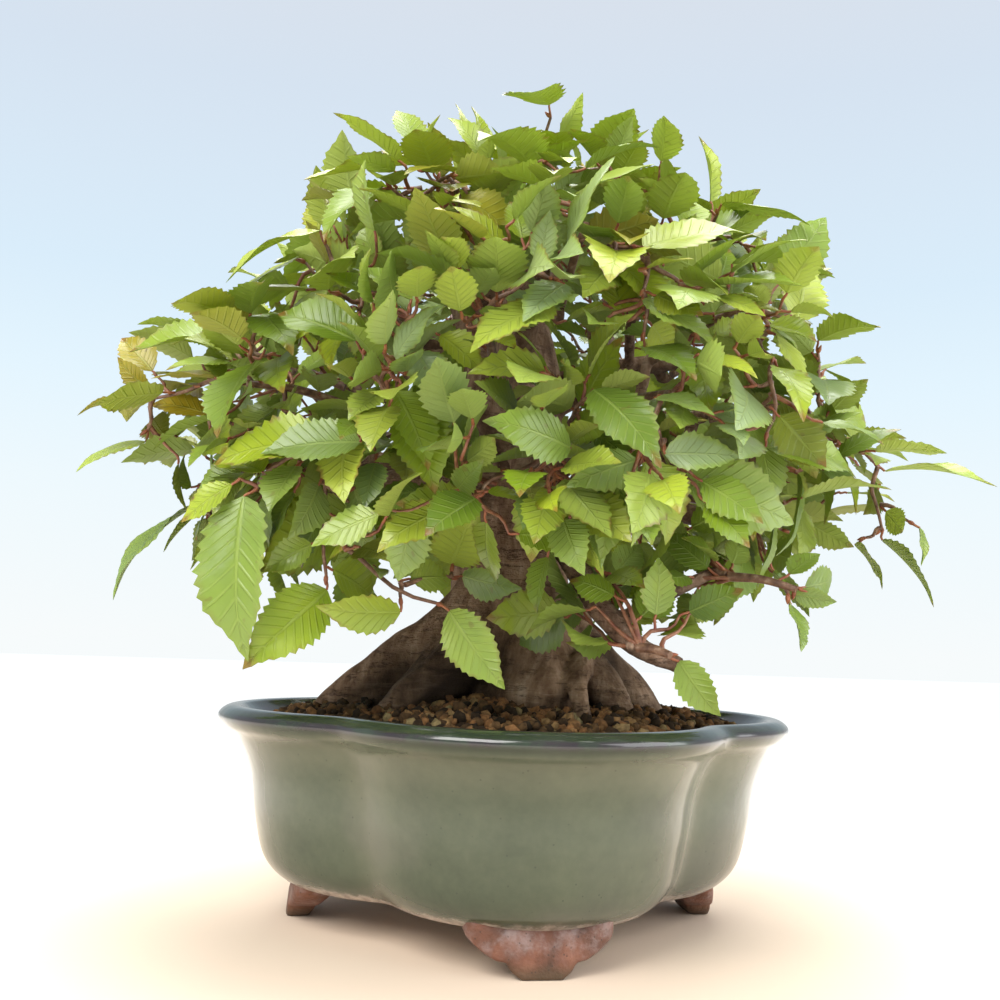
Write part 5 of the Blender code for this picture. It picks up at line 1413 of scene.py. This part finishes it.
def glaze_look(colours):
    """Grey-green celadon: paler on creases and under the lip, dark on the lip, crusted at its lower edge."""
    look = Look("celadon_glaze", Roughness=0.16, IOR=1.5, Coat_Weight=0.35, Coat_Roughness=0.08)
    x, y, z = look.split(look.space)
    axis = POT_BOX.mean(axis=0)
    angle = look.math("ARCTAN2", look.minus(y, float(axis[1])), look.minus(x, float(axis[0])))
    fourth = look.math("PINGPONG", look.plus(angle, math.pi / 4 + 4 * math.pi), math.pi / 4)
    crease = look.step(fourth, 0.0, 0.12, 1.0, 0.0)
    cloud = look.noise(38.0, 4.0, 0.55)
    fine = look.noise(420.0, 3.0)
    body = look.ramp(look.plus(look.times(cloud, 0.8), look.times(fine, 0.2)),
                     (0.35, tuple(colours.deep_glaze)), (0.65, tuple(colours.glaze)))
    top = (RIM_HEIGHT - SOLE_HEIGHT) * CM
    foot_line = (BASE_HEIGHT - SOLE_HEIGHT) * CM
    thin = look.times(crease, look.step(z, foot_line, top, 0.05, 0.18))
    above, below = look.step(z, top - 0.016, top - 0.009), look.step(z, top - 0.008, top - 0.004, 0.16, 0.0)
    under_lip = look.times(above, below)
    body = look.mix(look.most(thin, under_lip), body, (0.27, 0.25, 0.17))
    near_top = look.step(z, top - 0.0052, top - 0.0034)
    body = look.mix(look.times(near_top, 0.9), body, (0.02, 0.03, 0.017))
    above = look.step(z, top - 0.0038, top - 0.0026)
    below = look.step(z, top - 0.0019, top - 0.0011, 1.0, 0.0)
    streak = look.times(above, below)
    streak = look.times(streak, look.step(look.noise(110.0, 4.0, 0.6), 0.36, 0.56))
    body = look.mix(look.times(streak, 0.9), body, (0.022, 0.014, 0.018))
    crust_height = look.plus(z, look.times(look.minus(look.noise(170.0, 4.0), 0.5), 0.004))
    crust = look.step(crust_height, foot_line + 0.0012, foot_line + 0.0034, 1.0, 0.0)
    crust_colour = look.ramp(look.noise(600.0, 3.0), (0.35, (0.26, 0.2, 0.16)), (0.6, (0.5, 0.42, 0.36)))
    body = look.mix(crust, body, crust_colour)
    blotch = look.step(look.noise(26.0, 2.0), 0.5, 0.68, 0.0, 0.5)
    blotch = look.times(blotch, look.step(z, foot_line, top - 0.008, 1.0, 0.3))
    body = look.mix(blotch, body, (0.115, 0.112, 0.098))
    pins = look.step(look.specks(330.0), 0.05, 0.09, 1.0, 0.0)
    body = look.mix(look.times(pins, 0.5), body, (0.03, 0.04, 0.03))
    look.set("Base Color", body)
    look.set("Roughness", look.most(look.times(crust, 0.7), look.step(cloud, 0.3, 0.7, 0.13, 0.24)))
    waves = look.plus(look.noise(90.0, 2.0), look.times(fine, 0.08))
    look.set("Normal", look.bump(waves, 0.0006, 0.5))
    return look.material


def clay_look():
    """Unglazed red clay with whitish deposits and dark specks."""
    look = Look("red_clay", Roughness=0.62)
    _, _, z = look.split(look.space)
    cloud = look.noise(120.0, 4.0, 0.6)
    clay = look.ramp(cloud, (0.3, (0.06, 0.026, 0.014)), (0.55, (0.16, 0.06, 0.033)),
                     (0.75, (0.24, 0.1, 0.058)))
    lime = look.times(look.step(look.noise(170.0, 5.0, 0.65), 0.42, 0.72), look.step(z, 0.003, 0.0075))
    clay = look.mix(look.times(lime, 0.62), clay, (0.36, 0.29, 0.28))
    clay = look.mix(look.step(z, 0.0005, 0.0045, 0.75, 0.0), clay, (0.07, 0.05, 0.025))
    specks = look.step(look.specks(700.0), 0.1, 0.18, 1.0, 0.0)
    clay = look.mix(look.times(specks, 0.6), clay, (0.03, 0.02, 0.016))
    look.set("Base Color", clay)
    look.set("Normal", look.bump(look.plus(look.noise(900.0, 3.0), cloud), 0.0005, 0.7))
    return look.material


def soil_look():
    """Each granule has its own brown, from the draw in its traits; the second trait makes it near black: a
    dark peaty patch with painted shade by the left root, and painted shade on the ground under the granules.
    """
    look = Look("clay_granules", Roughness=0.95, Specular_IOR_Level=0.15)
    lightness, dark, _ = look.traits()
    grain = look.ramp(lightness, (0.0, (0.012, 0.008, 0.004)), (0.25, (0.035, 0.02, 0.009)),
                      (0.5, (0.09, 0.05, 0.02)), (0.75, (0.16, 0.075, 0.028)),
                      (0.92, (0.19, 0.11, 0.045)), (1.0, (0.16, 0.13, 0.06)))
    shade = look.step(look.noise(700.0, 3.0), 0.3, 0.75, 0.55, 1.25)
    shade = look.node("ShaderNodeCombineXYZ", {0: shade, 1: shade, 2: shade}).outputs[0]
    grain = look.mix(1.0, grain, shade, "MULTIPLY")
    # Near black from the second trait: painted shade on the ground under the granules, and dark peaty soil
    # with painted shade by the left root.
    grain = look.mix(look.times(dark, 0.9), grain, (0.012, 0.01, 0.007))
    look.set("Base Color", grain)
    look.set("Normal", look.bump(look.noise(1600.0, 3.0), 0.0003, 0.9))
    return look.material


def plain_look(name, colour, roughness, metallic, grain):
    """A plain finish with a faint grain, for the net and its wire."""
    look = Look(name, Roughness=roughness, Metallic=metallic)
    mottle = look.noise(grain, 3.0)
    look.set("Base Color", look.ramp(mottle, (0.3, tuple(0.7 * c for c in colour)), (0.7, colour)))
    look.set("Normal", look.bump(mottle, 0.0002, 0.4))
    return look.material


# View and light
VIEW_TURN = (7.86, 1.9, 0.76)  # degrees: how far the camera looks up, rolls and turns
LENS_MM = 37.8
SENSOR_MM = 36.0
FLOOR_SIZE = 6.0
# Lamps: place in metres, size in metres, power in watts and colour
LAMPS = {
    "key": ((-0.7, -0.75, 1.0), 0.9, 24.0, (1.0, 0.985, 0.95)),
    "fill": ((1.0, -0.45, 0.5), 1.0, 13.0, (0.98, 0.99, 1.0)),
    "top": ((0.1, 0.3, 1.1), 1.1, 25.0, (1.0, 0.99, 0.96)),
}
# Sky: sine of the elevation, and the colour there
SKY = [(0.0, (0.93, 0.965, 0.973)), (0.137, (0.855, 0.947, 0.991)), (0.23, (0.776, 0.913, 1.0)),
       (0.32, (0.701, 0.847, 0.965)), (0.48, (0.672, 0.768, 0.88)), (0.6, (0.7, 0.745, 0.82))]


def floor_piece():
    """A plain pale floor."""
    mesh = bpy.data.meshes.new("floor")
    build = bmesh.new()
    bmesh.ops.create_grid(build, x_segments=1, y_segments=1, size=FLOOR_SIZE / 2)
    build.to_mesh(mesh)
    build.free()
    floor = in_scene("floor", mesh)
    look = Look("pale_floor", Roughness=0.75)
    x, y, _ = look.split(look.space)
    away = look.reach(x, y)
    far = look.step(away, 0.16, 0.75)
    near = look.mix(look.step(away, 0.07, 0.24), (0.72, 0.58, 0.45), (0.84, 0.78, 0.72))
    look.set("Base Color", look.mix(far, near, (0.0, 0.0, 0.0)))
    look.set("Emission Color", (0.94, 0.965, 0.965))
    look.set("Emission Strength", far)
    mesh.materials.append(look.material)
    return floor


def sky(settings):
    """A pale world, white at the horizon and light blue above."""
    world = bpy.data.worlds.new("pale_sky")
    bpy.context.scene.world = world
    world.use_nodes = True
    nodes, links = world.node_tree.nodes, world.node_tree.links
    place = nodes.new("ShaderNodeTexCoord")
    split = nodes.new("ShaderNodeSeparateXYZ")
    ramp = nodes.new("ShaderNodeValToRGB")
    links.new(place.outputs["Generated"], split.inputs[0])
    links.new(split.outputs["Z"], ramp.inputs[0])
    fill_ramp(ramp.color_ramp, SKY)
    back = nodes["Background"]
    links.new(ramp.outputs[0], back.inputs["Color"])
    seen = nodes.new("ShaderNodeLightPath")
    strength = nodes.new("ShaderNodeMapRange")
    strength.inputs["To Min"].default_value = settings.sky_light
    links.new(seen.outputs["Is Camera Ray"], strength.inputs["Value"])
    links.new(strength.outputs[0], back.inputs["Strength"])


def lamp(name, place, size, power, colour):
    data = bpy.data.lights.new(name, "AREA")
    data.size, data.energy, data.color = size, power, colour
    light = in_scene(name, data)
    light.location = place
    aim = np.array([0.0, 0.0, 0.11]) - np.array(place)
    light.rotation_euler = Vector(aim).to_track_quat("-Z", "Y").to_euler()


def camera():
    data = bpy.data.cameras.new("front_view")
    data.lens, data.sensor_width, data.clip_start = LENS_MM, SENSOR_MM, 0.01
    view = in_scene("front_view", data)
    up, roll, turn = (math.radians(angle) for angle in VIEW_TURN)
    aim = Matrix.Rotation(TREE_TURN + turn, 4, "Z") @ Matrix.Rotation(math.pi / 2 + up, 4, "X")
    aim = aim @ Matrix.Rotation(roll, 4, "Z")
    view.matrix_world = Matrix.Translation(Vector(to_frame(EYE[None])[0])) @ aim
    bpy.context.scene.camera = view


class BonsaiColours(bpy.types.PropertyGroup):
    """Colours of the leaves and the glaze."""

    deep_green: FloatVectorProperty(
        name="Deep green", description="Leaves in the shade", subtype="COLOR", default=(0.085, 0.15, 0.012))
    green: FloatVectorProperty(
        name="Green", description="Full-grown leaves", subtype="COLOR", default=(0.24, 0.35, 0.02))
    lime_green: FloatVectorProperty(
        name="Lime green", description="Leaves of this spring", subtype="COLOR", default=(0.54, 0.62, 0.035))
    pale_green: FloatVectorProperty(
        name="Pale green", description="Bluish leaves", subtype="COLOR", default=(0.38, 0.49, 0.25))
    light_through: FloatProperty(
        name="Light through leaves", description="Share of light that goes through a leaf",
        subtype="FACTOR", min=0.0, max=1.0, default=0.3)
    glaze: FloatVectorProperty(
        name="Glaze", description="Glaze where it is thin", subtype="COLOR", default=(0.083, 0.1, 0.062))
    deep_glaze: FloatVectorProperty(
        name="Deep glaze", description="Glaze where it is thick", subtype="COLOR",
        default=(0.044, 0.062, 0.037))


class BonsaiStage(bpy.types.PropertyGroup):
    """Light of the stage."""

    sky_light: FloatProperty(
        name="Sky light", description="Light from the world, as a share of its brightness in the view",
        min=0.0, max=5.0, default=0.72)
    lamp_share: FloatProperty(
        name="Lamps", description="Brightness of all lamps together", min=0.0, max=5.0, default=1.0)


class BONSAI_OT_foliage(bpy.types.Operator):
    """Grow the leaves and twigs of every spray"""

    bl_idname = "bonsai.foliage"
    bl_label = "Foliage"

    def execute(self, context):
        _, _, fine = growth()
        looks = [leaf_look(context.scene.bonsai_colours), twig_look()]
        for number, own in enumerate(fine, 1):
            name = f"foliage_{number:02d}"
            mesh = foliage_surface(own).mesh(name)
            mesh.set_sharp_from_angle(angle=math.radians(80))
            finished(name, mesh, looks, [f"spray_{number:02d}"])
        return {"FINISHED"}


class BONSAI_OT_trunk(bpy.types.Operator):
    """Grow the trunk, roots and limbs with their bark"""

    bl_idname = "bonsai.trunk"
    bl_label = "Trunk"

    def execute(self, context):
        _, branches, _ = growth()
        mesh = grown_together(wood_surface(branches), "barked_trunk")
        finished("barked_trunk", mesh, [bark_look()], ["trunk"])
        return {"FINISHED"}


class BONSAI_OT_pot(bpy.types.Operator):
    """Turn the glazed pot and its four clay feet"""

    bl_idname = "bonsai.pot"
    bl_label = "Pot"

    def execute(self, context):
        finished("glazed_pot", pot_surface().mesh("glazed_pot"), [glaze_look(context.scene.bonsai_colours)],
                 ["pot"])
        feet = Surface()
        for turn in range(4):
            foot_surface(feet, FRONT_FOOT_RADIUS if turn % 2 else SIDE_FOOT_RADIUS, turn * math.pi / 2)
        finished("clay_feet", feet.mesh("clay_feet"), [clay_look()], ["pot"])
        return {"FINISHED"}


class BONSAI_OT_soil(bpy.types.Operator):
    """Fill the pot with clay granules"""

    bl_idname = "bonsai.soil"
    bl_label = "Soil"

    def execute(self, context):
        ground = Surface()
        earth_surface(ground)
        grain_surface(ground)
        finished("granular_soil", ground.mesh("granular_soil"), [soil_look()], ["soil"])
        return {"FINISHED"}


class BONSAI_OT_drain(bpy.types.Operator):
    """Finish the drain screen and its wire"""

    bl_idname = "bonsai.drain"
    bl_label = "Drain screen and wire"

    def execute(self, context):
        looks = {
            "drain_screen": plain_look("black_net", (0.02, 0.02, 0.022), 0.5, 0.0, 900.0),
            "screen_wire": plain_look("coppery_wire", (0.32, 0.2, 0.12), 0.35, 1.0, 700.0),
        }
        for name, look in looks.items():
            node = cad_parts[name]
            node.data.materials.clear()
            node.data.materials.append(look)
        return {"FINISHED"}


class BONSAI_OT_stage(bpy.types.Operator):
    """Set the floor, the lamps, the sky and the camera"""

    bl_idname = "bonsai.stage"
    bl_label = "Stage"

    def execute(self, context):
        settings = context.scene.bonsai_stage
        floor_piece()
        sky(settings)
        for name, (place, size, power, colour) in LAMPS.items():
            lamp(name, place, size, power * settings.lamp_share, colour)
        camera()
        context.scene.view_settings.view_transform = "Standard"
        return {"FINISHED"}


class BONSAI_PT_panel(bpy.types.Panel):
    """The tree's pieces and their colours"""

    bl_label = "Bonsai"
    bl_space_type = "VIEW_3D"
    bl_region_type = "UI"
    bl_category = "Bonsai"

    def draw(self, context):
        for group in (context.scene.bonsai_colours, context.scene.bonsai_stage):
            column = self.layout.column()
            for name in group.__annotations__:
                column.prop(group, name)
        for operator in OPERATORS:
            self.layout.operator(operator.bl_idname)


OPERATORS = (
    BONSAI_OT_trunk, BONSAI_OT_foliage, BONSAI_OT_pot, BONSAI_OT_soil, BONSAI_OT_drain, BONSAI_OT_stage,
)
CLASSES = (BonsaiColours, BonsaiStage, *OPERATORS, BONSAI_PT_panel)


def register():
    for item in CLASSES:
        bpy.utils.register_class(item)
    bpy.types.Scene.bonsai_colours = PointerProperty(type=BonsaiColours)
    bpy.types.Scene.bonsai_stage = PointerProperty(type=BonsaiStage)


def unregister():
    del bpy.types.Scene.bonsai_colours
    del bpy.types.Scene.bonsai_stage
    for item in reversed(CLASSES):
        bpy.utils.unregister_class(item)


def main():
    register()
    bpy.ops.bonsai.trunk()
    bpy.ops.bonsai.foliage()
    bpy.ops.bonsai.pot()
    bpy.ops.bonsai.soil()
    bpy.ops.bonsai.drain()
    bpy.ops.bonsai.stage()
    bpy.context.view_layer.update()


if __name__ == "__main__":
    main()
